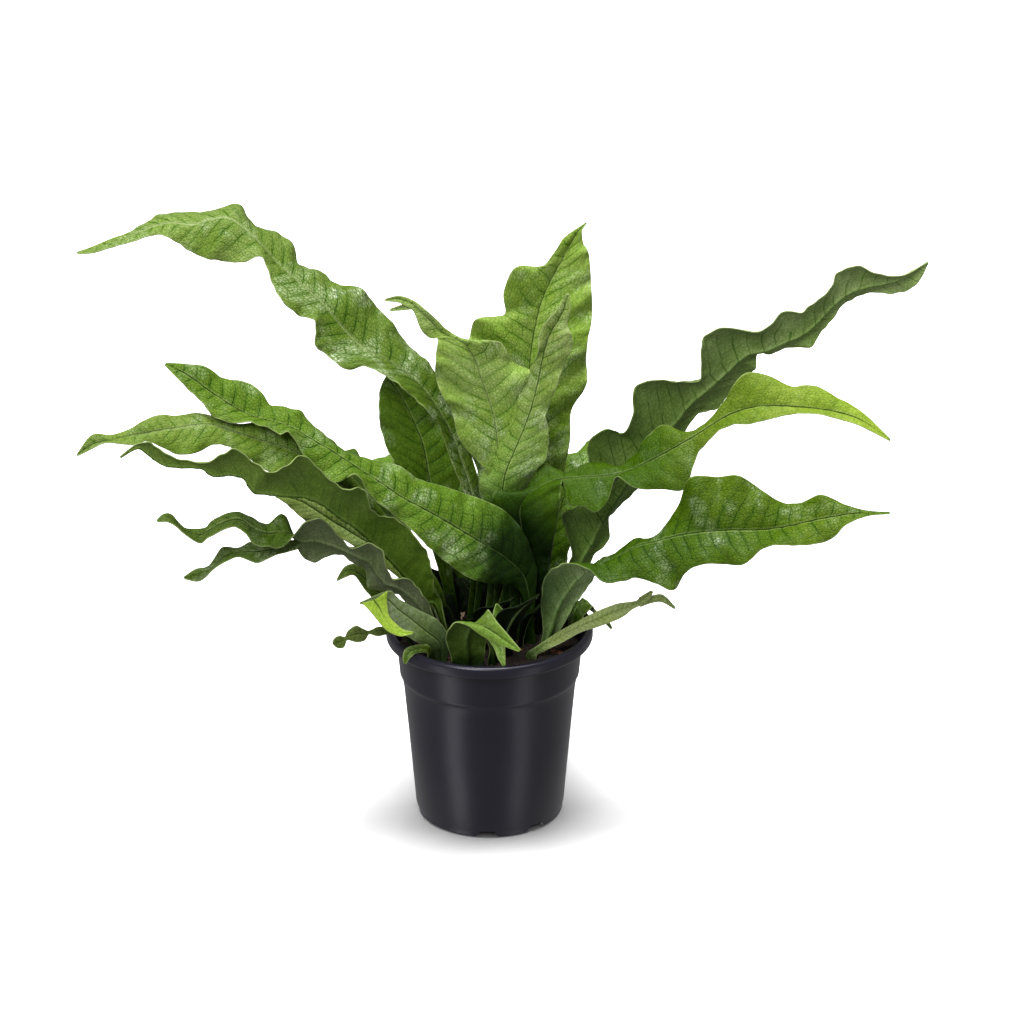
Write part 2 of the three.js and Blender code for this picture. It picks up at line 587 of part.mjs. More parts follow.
// An arching frond: it climbs from its foot, leans over outwards, and its margins wave.
function grownRungs({ root, turn, reach, tip, half, waves }, phase) {
  const angle = THREE.MathUtils.degToRad(turn);
  const out = new THREE.Vector3(Math.cos(angle), Math.sin(angle), 0);
  const across = new THREE.Vector3(Math.sin(angle), -Math.cos(angle), 0);
  const foot = soilHeight(root[0], root[1]);
  const rungs = [];
  for (let i = 1; i <= GROWN_RUNGS; i += 1) {
    const s = i / GROWN_RUNGS;
    const arch = GROWN_CREST * reach * 4 * s * (1 - s) * (1.15 - 0.3 * s);
    const mid = new THREE.Vector3(root[0], root[1], foot + (tip - foot) * s + arch)
      .addScaledVector(out, reach * Math.pow(s, GROWN_LEAN))
      .addScaledVector(across, GROWN_SWAY * Math.sin(3 * s + phase));
    const width = 3 + half * Math.pow(Math.sin(Math.PI * Math.pow(s, 0.8)), 0.8);
    const margin = (side) => {
      const wave = Math.sin(2 * Math.PI * waves * s + side * 1.3 + phase);
      return mid.clone()
        .addScaledVector(across, side * width * (1 - GROWN_WAVE + GROWN_WAVE * wave))
        .add(new THREE.Vector3(0, 0, width * (0.1 + GROWN_RUFFLE * wave)));
    };
    rungs.push({ mid, left: margin(-1), right: margin(1) });
  }
  return bluntTip(rungs);
}

// ---------- blades ----------

// Rows of points across the blade, from its foot to its tip, along smooth guide curves.
function bladeRows(rungs, stepsPerRung, columns) {
  const curve = (key) => {
    const points = rungs.map((rung) => rung[key]);
    return new THREE.CatmullRomCurve3(points, false, 'catmullrom');
  };
  const [mid, left, right] = ['mid', 'left', 'right'].map(curve);
  const steps = (rungs.length - 1) * stepsPerRung;
  const rows = [];
  for (let i = 0; i <= steps; i += 1) {
    const t = i / steps;
    const m = mid.getPoint(t);
    const l = left.getPoint(t);
    const r = right.getPoint(t);
    const up = r.clone().sub(l).cross(mid.getTangent(t)).normalize();
    const row = [];
    for (let j = 0; j < columns; j += 1) {
      const v = (2 * j) / (columns - 1) - 1;
      const margin = v < 0 ? l : r;
      const bulge = ARCH * margin.distanceTo(m) * 4 * Math.abs(v) * (1 - Math.abs(v));
      row.push(m.clone().lerp(margin, Math.abs(v)).addScaledVector(up, bulge));
    }
    rows.push(row);
  }
  return rows;
}

function rowNormal(rows, i, j) {
  const along = rows[Math.min(i + 1, rows.length - 1)][j].clone().sub(rows[Math.max(i - 1, 0)][j]);
  const last = rows[i].length - 1;
  const across = rows[i][Math.min(j + 1, last)].clone().sub(rows[i][Math.max(j - 1, 0)]);
  return across.cross(along).normalize();
}

// A closed solid around the rows: an upper and a lower skin, split alike, and walls between them.
function bladeGeometry(rows) {
  const columns = rows[0].length;
  const middle = (columns - 1) / 2;
  const positions = [];
  for (const face of [1, -1]) {
    rows.forEach((row, i) => row.forEach((point, j) => {
      const keel = THREE.MathUtils.lerp(KEEL_AT_STIPE, KEEL_AT_TIP, i / (rows.length - 1));
      const depth = BLADE_THICKNESS / 2 + (face < 0 && j === middle ? keel : 0);
      const p = point.clone().addScaledVector(rowNormal(rows, i, j), face * depth);
      positions.push(p.x, p.y, p.z);
    }));
  }
  const skin = rows.length * columns;
  const index = [];
  const quad = (a, b, c, d) => index.push(a, b, c, a, c, d);
  for (let i = 0; i < rows.length - 1; i += 1) {
    for (let j = 0; j < columns - 1; j += 1) {
      const a = i * columns + j;
      const [b, c, d] = [a + 1, a + columns + 1, a + columns];
      index.push(a, b, c, a, c, d);
      index.push(skin + a, skin + c, skin + b, skin + a, skin + d, skin + c);
    }
    const left = i * columns;
    const right = left + columns - 1;
    quad(left, left + columns, skin + left + columns, skin + left);
    quad(right, skin + right, skin + right + columns, right + columns);
  }
  for (let j = 0; j < columns - 1; j += 1) {
    const end = (rows.length - 1) * columns + j;
    quad(j, skin + j, skin + j + 1, j + 1);
    quad(end, end + 1, skin + end + 1, skin + end);
  }
  const geometry = new THREE.BufferGeometry();
  geometry.setAttribute('position', new THREE.Float32BufferAttribute(positions, 3));
  geometry.setIndex(index);
  return geometry;
}

// ---------- solids ----------

function toSolid(geometry) {
  const bare = geometry.clone();
  bare.deleteAttribute('normal');
  bare.deleteAttribute('uv');
  const merged = mergeVertices(bare, 1e-4);
  return new wasm.Manifold(new wasm.Mesh({
    numProp: 3,
    vertProperties: new Float32Array(merged.attributes.position.array),
    triVerts: new Uint32Array(merged.index.array),
  }));
}

function toGeometry(solid) {
  const mesh = solid.getMesh();
  const geometry = new THREE.BufferGeometry();
  const positions = new Float32Array(mesh.vertProperties);
  geometry.setAttribute('position', new THREE.BufferAttribute(positions, 3));
  geometry.setIndex(new THREE.BufferAttribute(new Uint32Array(mesh.triVerts), 1));
  geometry.computeVertexNormals();
  return geometry;
}

function namedMesh(name, geometry, colour, roughness) {
  const material = new THREE.MeshStandardMaterial({ color: colour, roughness, metalness: 0 });
  const mesh = new THREE.Mesh(geometry, material);
  mesh.name = name;
  return mesh;
}

// Long fronds have enough rungs for one step each; the small ones get two, and fewer columns.
function frondMesh({ name, colour, root }, rungs, branches) {
  const columns = rungs.length > 8 ? 5 : 3;
  const stepsPerRung = rungs.length > 12 ? 1 : 2;
  const whole = [...stipeRungs(root, rungs[0]), ...rungs];
  let solid = toSolid(bladeGeometry(bladeRows(whole, stepsPerRung, columns)));
  for (const branch of branches) {
    solid = solid.add(toSolid(bladeGeometry(bladeRows(branch, 2, 3))));
  }
  return namedMesh(name, toGeometry(solid), COLOURS[colour], 0.45);
}

// ---------- pot and soil ----------

// A profile of [radius, height] pairs, turned about Z.
function turned(profile, sides) {
  const points = profile.map(([radius, height]) => new THREE.Vector2(radius, height));
  return new THREE.LatheGeometry(points, sides).rotateX(Math.PI / 2);
}

// Outside radius of the pot's body below the shoulder.
function bodyRadius(z) {
  return BASE_RADIUS + (BODY_TOP_RADIUS - BASE_RADIUS) * (z / SHOULDER_Z);
}

function potProfile() {
  const beadFoot = POT_HEIGHT - BEAD_HEIGHT;
  const outside = [
    [0, 0], [BASE_RADIUS - BASE_ROUND, 0],
    [BASE_RADIUS - 0.3 * BASE_ROUND, 0.3 * BASE_ROUND], [BASE_RADIUS, BASE_ROUND],
    [BODY_TOP_RADIUS, SHOULDER_Z], [COLLAR_FOOT_RADIUS, SHOULDER_Z + SHOULDER_HEIGHT],
    [COLLAR_TOP_RADIUS, beadFoot], [RIM_RADIUS - 1, beadFoot], [RIM_RADIUS, beadFoot + 1.2],
    [RIM_RADIUS, POT_HEIGHT - RIM_ROUND],
    [RIM_RADIUS - 0.3 * RIM_ROUND, POT_HEIGHT - 0.3 * RIM_ROUND],
    [RIM_RADIUS - RIM_ROUND, POT_HEIGHT],
  ];
  const inside = [
    [RIM_INNER_RADIUS + 1, POT_HEIGHT - 0.4], [RIM_INNER_RADIUS, POT_HEIGHT - 1.6],
    [COLLAR_TOP_RADIUS - WALL, beadFoot - 2],
    [COLLAR_FOOT_RADIUS - WALL, SHOULDER_Z + SHOULDER_HEIGHT], [BODY_TOP_RADIUS - WALL, SHOULDER_Z],
    [BASE_RADIUS - WALL + 0.2, FLOOR], [0, FLOOR],
  ];
  return [...outside, ...inside];
}

// A bar under the edge of the base, with sloped sides, at a turn in degrees about Z.
function drainNotch(turn) {
  const foot = DRAIN_FOOT_WIDTH / 2;
  const top = DRAIN_TOP_WIDTH / 2;
  const below = -BASE_ROUND;
  const outline = [
    [-foot, below], [foot, below], [foot, 0], [top, DRAIN_HEIGHT], [-top, DRAIN_HEIGHT], [-foot, 0],
  ];
  const shape = new THREE.Shape(outline.map(([x, y]) => new THREE.Vector2(x, y)));
  const overhang = 2 * BASE_ROUND;
  const notch = new THREE.ExtrudeGeometry(shape, { depth: DRAIN_REACH + overhang, bevelEnabled: false });
  return notch
    .rotateX(Math.PI / 2)
    .translate(0, BASE_RADIUS + overhang, 0)
    .rotateZ(THREE.MathUtils.degToRad(turn - 90));
}

// The pot, with drain notches cut into the edge of its base.
function potSolid() {
  let pot = toSolid(turned(potProfile(), POT_SIDES));
  for (let i = 0; i < DRAIN_PAIRS; i += 1) {
    const middle = DRAIN_TURN + (360 / DRAIN_PAIRS) * i;
    for (const side of [-0.5, 0.5]) {
      pot = pot.subtract(toSolid(drainNotch(middle + side * DRAIN_SPREAD)));
    }
  }
  return pot;
}

// The soil fills the pot up to its domed top.
function soilProfile() {
  const foot = FLOOR + FIT_GAP;
  const shoulderTop = SHOULDER_Z + SHOULDER_HEIGHT + 1;
  const bodyInside = (z) => bodyRadius(z) - WALL - FIT_GAP;
  const collarInside = COLLAR_FOOT_RADIUS - WALL - FIT_GAP;
  return [
    [0, foot], [bodyInside(foot), foot], [bodyInside(SHOULDER_Z), SHOULDER_Z],
    [collarInside, shoulderTop], [collarInside + 1.4, SOIL_TOP],
    ...SOIL_RINGS.map((radius) => [radius, SOIL_TOP]), [0, SOIL_TOP],
  ];
}

// Its top follows soilHeight, with one plain hole for each stipe.
function soilSolid(roots) {
  const geometry = turned(soilProfile(), SOIL_SIDES);
  const position = geometry.attributes.position;
  for (let i = 0; i < position.count; i += 1) {
    if (position.getZ(i) > SOIL_TOP - FIT_GAP) {
      position.setZ(i, soilHeight(position.getX(i), position.getY(i)));
    }
  }
  let soil = toSolid(geometry);
  for (const [x, y] of roots) {
    const hole = new THREE.CylinderGeometry(HOLE_RADIUS, HOLE_RADIUS, HOLE_DEPTH * 2, HOLE_SIDES)
      .rotateX(Math.PI / 2)
      .translate(x, y, soilHeight(x, y));
    soil = soil.subtract(toSolid(hole));
  }
  return soil;
}

// ---------- assembly ----------

const plant = new THREE.Group();
for (const frond of TRACED_FRONDS) {
  const branches = (frond.branches ?? []).map(rungsFromView);
  plant.add(frondMesh(frond, rungsFromView(frond.rungs), branches));
}
GROWN_FRONDS.forEach((frond, i) => {
  plant.add(frondMesh(frond, grownRungs(frond, i * GROWN_PHASE), []));
});
const roots = [...TRACED_FRONDS, ...GROWN_FRONDS].map((frond) => frond.root);
plant.add(namedMesh('soil', toGeometry(soilSolid(roots)), SOIL_COLOUR, 0.95));
plant.add(namedMesh('pot', toGeometry(potSolid()), POT_COLOUR, 0.4));

export default plant;
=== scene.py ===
# %% [markdown]
# # A potted crocodile fern
# This script dresses a potted crocodile fern. The solids of the plant are loaded first and never
# moved. Over each plain frond comes a finer one with the same form, which adds what a solid can't
# hold: the net of veins, the blisters between them, and the thin pale rim.

# %% Load the solids
import math

import bpy
import numpy as np
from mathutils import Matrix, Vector


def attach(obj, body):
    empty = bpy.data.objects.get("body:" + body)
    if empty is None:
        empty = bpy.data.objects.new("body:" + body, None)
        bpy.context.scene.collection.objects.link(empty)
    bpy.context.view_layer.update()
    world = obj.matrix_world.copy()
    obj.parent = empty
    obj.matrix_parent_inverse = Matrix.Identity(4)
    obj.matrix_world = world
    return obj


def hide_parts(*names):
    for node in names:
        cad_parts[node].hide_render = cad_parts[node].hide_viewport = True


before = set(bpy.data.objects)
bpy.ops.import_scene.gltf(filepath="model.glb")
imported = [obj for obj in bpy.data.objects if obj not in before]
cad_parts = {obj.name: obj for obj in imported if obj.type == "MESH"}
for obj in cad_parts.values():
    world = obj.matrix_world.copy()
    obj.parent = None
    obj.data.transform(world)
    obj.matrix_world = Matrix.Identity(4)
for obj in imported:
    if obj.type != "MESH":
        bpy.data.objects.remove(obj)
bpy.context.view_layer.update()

MM = 0.001

# %% [markdown]
# ## The camera
# The rim of the pot shows as an ellipse, and its shape says how steeply the camera looks down: 23
# degrees. A long lens far away keeps the two rims of the pot nearly the same width. The same
# numbers place the fronds further down, so they are given names here.

# %% Camera
VIEW_RISE = math.radians(23)
VIEW_DISTANCE = 2467          # mm from the lens to the point that it aims at
VIEW_AIM_X = 15.2             # mm
VIEW_AIM_Z = 219              # mm
PICTURE = 1024                # pixels
LENS = 130                    # mm, on a sensor 36 mm wide
SENSOR = 36
VIEW_FOCAL = LENS / SENSOR * PICTURE
VIEW_CENTRE = PICTURE / 2
SIN, COS = math.sin(VIEW_RISE), math.cos(VIEW_RISE)

camera = bpy.data.objects.new("camera", bpy.data.cameras.new("camera"))
camera.data.lens = LENS
camera.data.sensor_width = SENSOR
camera.data.clip_end = 50
camera.location = (VIEW_AIM_X * MM, -VIEW_DISTANCE * COS * MM, (VIEW_AIM_Z + VIEW_DISTANCE * SIN) * MM)
camera.rotation_euler = (math.pi / 2 - VIEW_RISE, 0, 0)
bpy.context.scene.collection.objects.link(camera)
bpy.context.scene.camera = camera
print("camera looks down at", round(math.degrees(VIEW_RISE)), "degrees from", VIEW_DISTANCE, "mm")

# %% [markdown]
# ## Writing shaders as sums
# A shader is a net of small nodes. Wiring them one by one hides the idea, so a socket is wrapped in
# a class whose operators add the Math nodes. After that `1 - mask` or `mask * 0.4` can be written as
# it would be on paper. Every other node comes from one method, which is given the node's type, its
# settings and the values of its sockets.

# %% Sockets that can be added and multiplied
class Wire:
    """An output socket, with the operators that this script uses."""

    def __init__(self, sheet, socket):
        self.sheet = sheet
        self.socket = socket

    def math(self, operation, first, second=None):
        inputs = {0: first} if second is None else {0: first, 1: second}
        return self.sheet.add("ShaderNodeMath", {"operation": operation}, inputs)

    def __add__(self, other):
        return self.math("ADD", self, other)

    def __radd__(self, other):
        return self.math("ADD", other, self)

    def __sub__(self, other):
        return self.math("SUBTRACT", self, other)

    def __rsub__(self, other):
        return self.math("SUBTRACT", other, self)

    def __mul__(self, other):
        return self.math("MULTIPLY", self, other)

    def __rmul__(self, other):
        return self.math("MULTIPLY", other, self)

    def __truediv__(self, other):
        return self.math("DIVIDE", self, other)

    def __mod__(self, other):
        return self.math("FLOORED_MODULO", self, other)

    def __gt__(self, other):
        return self.math("GREATER_THAN", self, other)

    def larger(self, other):
        return self.math("MAXIMUM", self, other)

    def __abs__(self):
        return self.math("ABSOLUTE", self)

    def floor(self):
        return self.math("FLOOR", self)

    def sine(self):
        return self.math("SINE", self)


# %% One method for every other node
class Sheet:
    """A node tree, and the one method that adds a node to it."""

    def __init__(self, tree):
        self.tree = tree
        self.tree.nodes.clear()

    def add(self, kind, settings=None, inputs=None, output=0):
        """Adds a node and returns one of its outputs. Settings come first, such as a ramp's stops."""
        node = self.tree.nodes.new(kind)
        settings = dict(settings or {})
        stops = settings.pop("stops", None)
        for name, value in settings.items():
            setattr(node, name, value)
        if stops:
            self.set_stops(node.color_ramp, stops)
        for name, value in (inputs or {}).items():
            if isinstance(value, Wire):
                self.tree.links.new(value.socket, node.inputs[name])
            elif value is not None:
                node.inputs[name].default_value = value
        return Wire(self, node.outputs[output]) if node.outputs else node

    def set_stops(self, ramp, stops):
        while len(ramp.elements) > 1:
            ramp.elements.remove(ramp.elements[-1])
        for number, (place, colour) in enumerate(stops):
            stop = ramp.elements[0] if number == 0 else ramp.elements.new(place)
            stop.position = place
            stop.color = (*colour, 1)


class Finish(Sheet):
    """A material whose last node is a Principled BSDF."""

    def __init__(self, name):
        self.material = bpy.data.materials.new(name)
        self.material.use_nodes = True
        super().__init__(self.material.node_tree)

    def object_point(self):
        return self.add("ShaderNodeTexCoord", output="Object")

    def noise(self, point, size, detail=3, roughness=0.5):
        """Soft noise from 0 to 1, whose lumps are about `size` mm wide."""
        inputs = {"Vector": point, "Scale": 1 / (size * MM), "Detail": detail, "Roughness": roughness}
        return self.add("ShaderNodeTexNoise", None, inputs)

    def blend(self, factor, first, second, way="MIX"):
        """From the first colour, where the factor is 0, to the second."""
        settings = {"data_type": "RGBA", "blend_type": way, "clamp_factor": True}
        first, second = [(*c, 1) if isinstance(c, tuple) else c for c in (first, second)]
        return self.add("ShaderNodeMix", settings, {0: factor, 6: first, 7: second}, 2)

    def step(self, value, low, high):
        """Rises smoothly from 0, where the value is low, to 1, where it is high."""
        inputs = {0: value, 1: low, 2: high}
        return self.add("ShaderNodeMapRange", {"interpolation_type": "SMOOTHSTEP"}, inputs)

    def bump(self, height, depth, strength=1.0):
        """A bump of `depth` mm where the height runs from 0 to 1."""
        inputs = {"Height": height, "Distance": depth * MM, "Strength": strength}
        return self.add("ShaderNodeBump", None, inputs)

    def finish(self, **inputs):
        named = {name.replace("_", " "): value for name, value in inputs.items()}
        surface = self.add("ShaderNodeBsdfPrincipled", None, named)
        self.add("ShaderNodeOutputMaterial", None, {"Surface": surface})
        print("finish:", self.material.name, len(self.tree.nodes), "nodes")
        return self.material


def srgb(red, green, blue):
    """A screen colour, 0 to 255, as the linear colour that shaders use."""
    share = [channel / 255 for channel in (red, green, blue)]
    return tuple(c / 12.92 if c <= 0.04045 else ((c + 0.055) / 1.055) ** 2.4 for c in share)


# %% [markdown]
# ## Where the fronds run
# A crocodile fern has undivided fronds, like straps, with waved margins. Each frond that shows in
# the reference view is described by rungs, like those of a ladder: where the midrib is, where the
# left and right margins are, and how deep each lies. Left is the left hand of one who walks from
# the foot to the tip on the upper face. This list is the one that the solids were made from, so
# the fine fronds fall on the plain ones. Three have rungs of their own here, which draw their fold,
# curl and beads more closely: folded_centre, lime_left and beaded_left.

# %% Rungs: midrib px, py, depth in mm, then px, py and mm behind the midrib for each margin
FRONDS = {
    "long_left": dict(root=(-12, 16), rungs=[
        (478, 560, 14, 472, 558, -2, 484, 560, 2), (473, 500, 12, 466, 500, -3, 481, 498, 3),
        (462, 462, 12, 452, 463, -4, 472, 458, 4), (449, 430, 12, 438, 425, -8, 461, 430, 6),
        (430, 398, 14, 414, 398, -14, 446, 400, 10), (408, 374, 16, 392, 380, -16, 432, 367, 12),
        (385, 360, 18, 368, 367, -16, 410, 347, 14), (366, 350, 20, 346, 369, -16, 392, 323, 16),
        (350, 336, 22, 327, 355, -16, 376, 306, 16), (336, 320, 22, 315, 344, -16, 360, 288, 14),
        (322, 303, 24, 315, 321, -18, 336, 284, 14), (305, 288, 26, 296, 314, -16, 320, 271, 16),
        (288, 273, 28, 277, 293, -16, 299, 265, 18), (275, 261, 30, 270, 277, -14, 293, 244, 16),
        (262, 246, 31, 262, 257, -12, 274, 232, 18), (247, 231, 32, 243, 262, -10, 252, 224, 20),
        (228, 218, 33, 222, 261, -8, 238, 204, 20), (208, 220, 34, 203, 257, -8, 210, 212, 20),
        (192, 225, 34, 188, 250, -8, 188, 212, 16), (172, 223, 34, 172, 239, -8, 160, 215, 12),
        (152, 227, 33, 154, 235, -6, 145, 223, 8), (132, 235, 32, 132, 242, -6, 128, 233, 5),
        (110, 243, 31, 110, 248, -4, 111, 239, 3), (92, 249, 30, 93, 253, -2, 92, 247, 2),
        (77, 253, 30, 77, 253, 0, 77, 253, 0),
    ]),
    "back_left_upright": dict(root=(-24, 26), rungs=[
        (446, 575, 26, 440, 575, -2, 452, 575, 2), (437, 520, 26, 420, 515, -4, 450, 515, 4),
        (429, 478, 27, 396, 466, -6, 461, 478, 6), (423, 446, 29, 387, 448, -8, 456, 450, 8),
        (416, 428, 31, 381, 428, -8, 445, 430, 8), (407, 408, 33, 379, 408, -8, 436, 405, 10),
        (398, 393, 35, 380, 392, -6, 420, 388, 8), (391, 383, 37, 383, 382, -3, 402, 376, 5),
        (388, 375, 38, 388, 375, 0, 388, 375, 0),
    ]),
    "tall_centre": dict(root=(8, 34), rungs=[
        (520, 560, 36, 508, 560, -2, 532, 560, 2), (525, 500, 38, 500, 495, -4, 556, 500, -2),
        (528, 445, 40, 495, 440, -6, 569, 445, -6), (529, 412, 41, 484, 405, -8, 571, 411, -8),
        (529, 385, 42, 474, 378, -8, 586, 385, -8), (530, 360, 43, 468, 352, -10, 586, 358, -8),
        (533, 338, 44, 470, 336, -10, 588, 337, -8), (536, 322, 45, 477, 319, -10, 591, 324, -8),
        (540, 306, 46, 504, 315, -4, 592, 306, -8), (546, 290, 47, 504, 292, -6, 591, 286, -6),
        (554, 274, 48, 516, 267, -6, 590, 268, -4), (562, 260, 48, 540, 268, -4, 588, 252, -4),
        (569, 246, 49, 553, 254, -4, 583, 243, -3), (577, 233, 49, 565, 237, -2, 582, 231, -2),
        (586, 223, 50, 586, 223, 0, 586, 223, 0),
    ]),
    "forked_centre": dict(root=(0, 12), rungs=[
        (497, 560, 13, 490, 560, -2, 504, 560, 2), (498, 500, 11, 486, 500, -3, 512, 500, 3),
        (499, 465, 10, 487, 473, -4, 520, 462, 4), (497, 440, 10, 461, 442, -6, 535, 435, 4),
        (494, 418, 10, 453, 415, -6, 540, 410, 4), (488, 398, 10, 444, 399, -8, 540, 385, 4),
        (481, 378, 9, 436, 377, -8, 533, 372, 3), (475, 360, 9, 436, 358, -8, 513, 362, 2),
        (466, 345, 8, 438, 342, -6, 499, 342, 0), (453, 338, 7, 437, 338, -4, 466, 340, 0),
        (441, 332, 7, 430, 338, -3, 446, 329, -1), (431, 321, 6, 421, 329, -2, 438, 321, -1),
        (420, 311, 5, 414, 312, -1, 427, 311, -1), (410, 303, 5, 406, 306, -1, 414, 301, 0),
        (398, 299, 5, 397, 302, -1, 399, 296, 0), (385, 300, 5, 385, 300, 0, 385, 300, 0),
    ], branch=[
        (416, 307, 5, 414, 309, -1, 419, 306, 0), (405, 307, 5, 404, 310, -1, 406, 304, 0),
        (390, 310, 5, 390, 310, 0, 390, 310, 0),
    ]),
    "folded_centre": dict(root=(15, 1), rungs=[
        (508, 570, 5, 502, 570, -2, 516, 570, 2), (502, 520, 3, 490, 520, 4, 518, 516, 3),
        (504, 480, 3, 479, 488, 9, 530, 478, 4), (513, 455, 3, 488, 462, 10, 546, 458, -4),
        (523, 432, 3, 501, 436, 10, 548, 430, -6), (531, 410, 2, 511, 412, 11, 546, 413, -6),
        (537, 388, 1, 519, 392, 12, 556, 388, -6), (541, 368, 0, 529, 372, 10, 563, 366, -6),
        (545, 349, -2, 538, 353, -2, 572, 347, -5), (550, 334, -3, 539, 337, -2, 571, 335, -4),
        (558, 320, -4, 546, 322, -2, 567, 324, -3), (565, 307, -5, 558, 308, -1, 570, 310, -2),
        (568, 294, -6, 568, 294, 0, 568, 294, 0),
    ]),
    "broad_front_left": dict(root=(27, -6), rungs=[
        (530, 625, -8, 526, 625, 0, 534, 625, 0), (529, 600, -9, 524, 600, -1, 535, 598, 1),
        (523, 575, -12, 514, 586, -3, 536, 566, 3), (505, 557, -18, 490, 583, -6, 523, 532, 4),
        (484, 544, -26, 468, 577, -8, 504, 511, 9), (462, 531, -33, 448, 563, -8, 482, 500, 14),
        (440, 518, -39, 430, 548, -8, 462, 493, 16), (420, 507, -44, 413, 531, -8, 442, 486, 16),
        (401, 497, -48, 392, 513, -8, 420, 480, 16), (382, 484, -52, 373, 498, -8, 399, 466, 16),
        (364, 473, -55, 356, 475, -10, 379, 462, 16), (346, 461, -57, 338, 482, -12, 357, 456, 14),
        (328, 449, -59, 318, 478, -10, 340, 448, 14), (312, 440, -61, 303, 455, -10, 327, 436, 12),
        (297, 431, -62, 290, 433, -12, 311, 424, 12), (283, 425, -63, 279, 434, -12, 300, 411, 12),
        (268, 421, -64, 266, 427, -12, 284, 407, 12), (252, 417, -65, 249, 422, -12, 271, 405, 12),
        (238, 410, -66, 232, 423, -12, 257, 388, 12), (222, 400, -67, 212, 415, -10, 240, 381, 12),
        (206, 389, -68, 202, 402, -8, 222, 378, 10), (193, 379, -69, 190, 391, -7, 206, 367, 8),
        (180, 371, -70, 179, 380, -4, 186, 364, 5), (165, 364, -71, 165, 364, 0, 165, 364, 0),
    ]),
    "folded_left": dict(root=(-27, -12), rungs=[
        (437, 606, -15, 441, 602, -3, 441, 606, 3), (424, 600, -19, 435, 592, -5, 432, 598, 5),
        (408, 580, -26, 432, 572, -8, 420, 576, 8), (390, 560, -34, 424, 548, -8, 402, 552, 12),
        (373, 543, -42, 398, 520, -10, 385, 532, 14), (356, 528, -51, 374, 513, -10, 368, 518, 14),
        (338, 516, -61, 364, 490, -10, 350, 505, 16), (320, 503, -71, 341, 488, -10, 330, 494, 12),
        (303, 497, -77, 320, 470, -10, 312, 482, 12), (286, 496, -82, 304, 456, -10, 294, 478, 12),
        (268, 494, -87, 285, 466, -10, 275, 479, 16), (254, 492, -91, 270, 473, -10, 260, 481, 14),
        (243, 478, -94, 253, 461, -8, 248, 468, 14), (228, 475, -97, 236, 450, -8, 232, 461, 12),
        (214, 476, -99, 222, 454, -8, 216, 464, 10), (200, 468, -101, 205, 463, -6, 203, 464, 6),
        (180, 467, -103, 180, 459, -4, 182, 462, 4), (163, 465, -104, 163, 452, -4, 165, 457, 4),
        (150, 456, -105, 150, 443, -3, 151, 447, 3), (138, 448, -106, 137, 444, -2, 139, 446, 2),
        (120, 457, -107, 120, 457, 0, 120, 457, 0),
    ]),
    "pale_left": dict(root=(-31, 5), rungs=[
        (437, 590, 0, 435, 594, -2, 440, 586, 2), (400, 545, -14, 396, 553, -4, 404, 537, 4),
        (362, 503, -34, 355, 513, -6, 368, 495, 6), (330, 475, -52, 322, 488, -8, 337, 463, 6),
        (300, 454, -63, 290, 476, -8, 306, 438, 6), (277, 445, -68, 266, 470, -10, 285, 430, 6),
        (254, 438, -72, 246, 456, -10, 262, 423, 6), (232, 431, -75, 227, 446, -8, 236, 424, 6),
        (212, 425, -78, 212, 445, -8, 214, 417, 6), (195, 425, -80, 195, 453, -8, 196, 413, 8),
        (178, 428, -82, 177, 454, -8, 178, 416, 8), (162, 430, -84, 160, 446, -6, 160, 415, 6),
        (147, 433, -86, 146, 441, -4, 145, 420, 4), (130, 436, -87, 134, 445, -4, 130, 429, 3),
        (112, 440, -88, 106, 443, -3, 112, 435, 2), (94, 444, -89, 92, 449, -2, 92, 435, 2),
        (77, 455, -90, 77, 455, 0, 77, 455, 0),
    ]),
    "low_forked_left": dict(root=(-36, -24), rungs=[
        (437, 640, -27, 438, 634, -2, 436, 646, 2), (427, 619, -31, 431, 609, -3, 422, 625, 3),
        (414, 600, -35, 421, 592, -6, 408, 606, 6), (399, 588, -39, 408, 579, -8, 398, 594, 8),
        (386, 583, -42, 392, 578, -8, 384, 591, 10), (376, 573, -45, 386, 566, -10, 368, 586, 10),
        (369, 562, -48, 382, 550, -10, 366, 571, 10), (358, 557, -51, 368, 544, -10, 355, 564, 8),
        (345, 551, -54, 351, 548, -6, 344, 556, 6), (330, 545, -58, 336, 533, -10, 331, 555, 8),
        (314, 541, -62, 320, 518, -12, 313, 562, 8), (301, 541, -66, 303, 525, -8, 300, 553, 6),
        (285, 532, -70, 284, 546, -8, 284, 515, 8), (268, 534, -74, 269, 547, -8, 268, 524, 8),
        (253, 529, -77, 255, 544, -8, 254, 519, 8), (240, 520, -80, 240, 529, -6, 238, 512, 6),
        (226, 522, -82, 228, 528, -6, 223, 515, 6), (212, 529, -84, 210, 537, -5, 211, 522, 5),
        (200, 535, -86, 200, 543, -4, 204, 528, 4), (186, 531, -88, 187, 536, -4, 184, 528, 4),
        (173, 520, -90, 175, 526, -3, 172, 515, 3), (165, 517, -91, 167, 522, -2, 164, 514, 2),
        (157, 521, -92, 157, 521, 0, 157, 521, 0),
    ], branch=[
        (300, 544, -64, 298, 549, -3, 301, 540, 3), (285, 547, -65, 287, 552, -4, 284, 541, 4),
        (270, 550, -66, 273, 556, -5, 268, 543, 5), (255, 552, -68, 257, 563, -5, 251, 542, 5),
        (240, 552, -70, 240, 557, -4, 238, 548, 4), (226, 556, -72, 227, 561, -4, 222, 548, 4),
        (213, 566, -74, 214, 569, -3, 209, 566, 3), (199, 574, -76, 200, 581, -3, 196, 569, 3),
        (184, 578, -78, 184, 578, 0, 184, 578, 0),
    ]),
    "small_dark_left": dict(root=(-44, 2), rungs=[
        (412, 622, -4, 410, 626, -2, 415, 618, 2), (390, 603, -12, 386, 610, -4, 396, 596, 4),
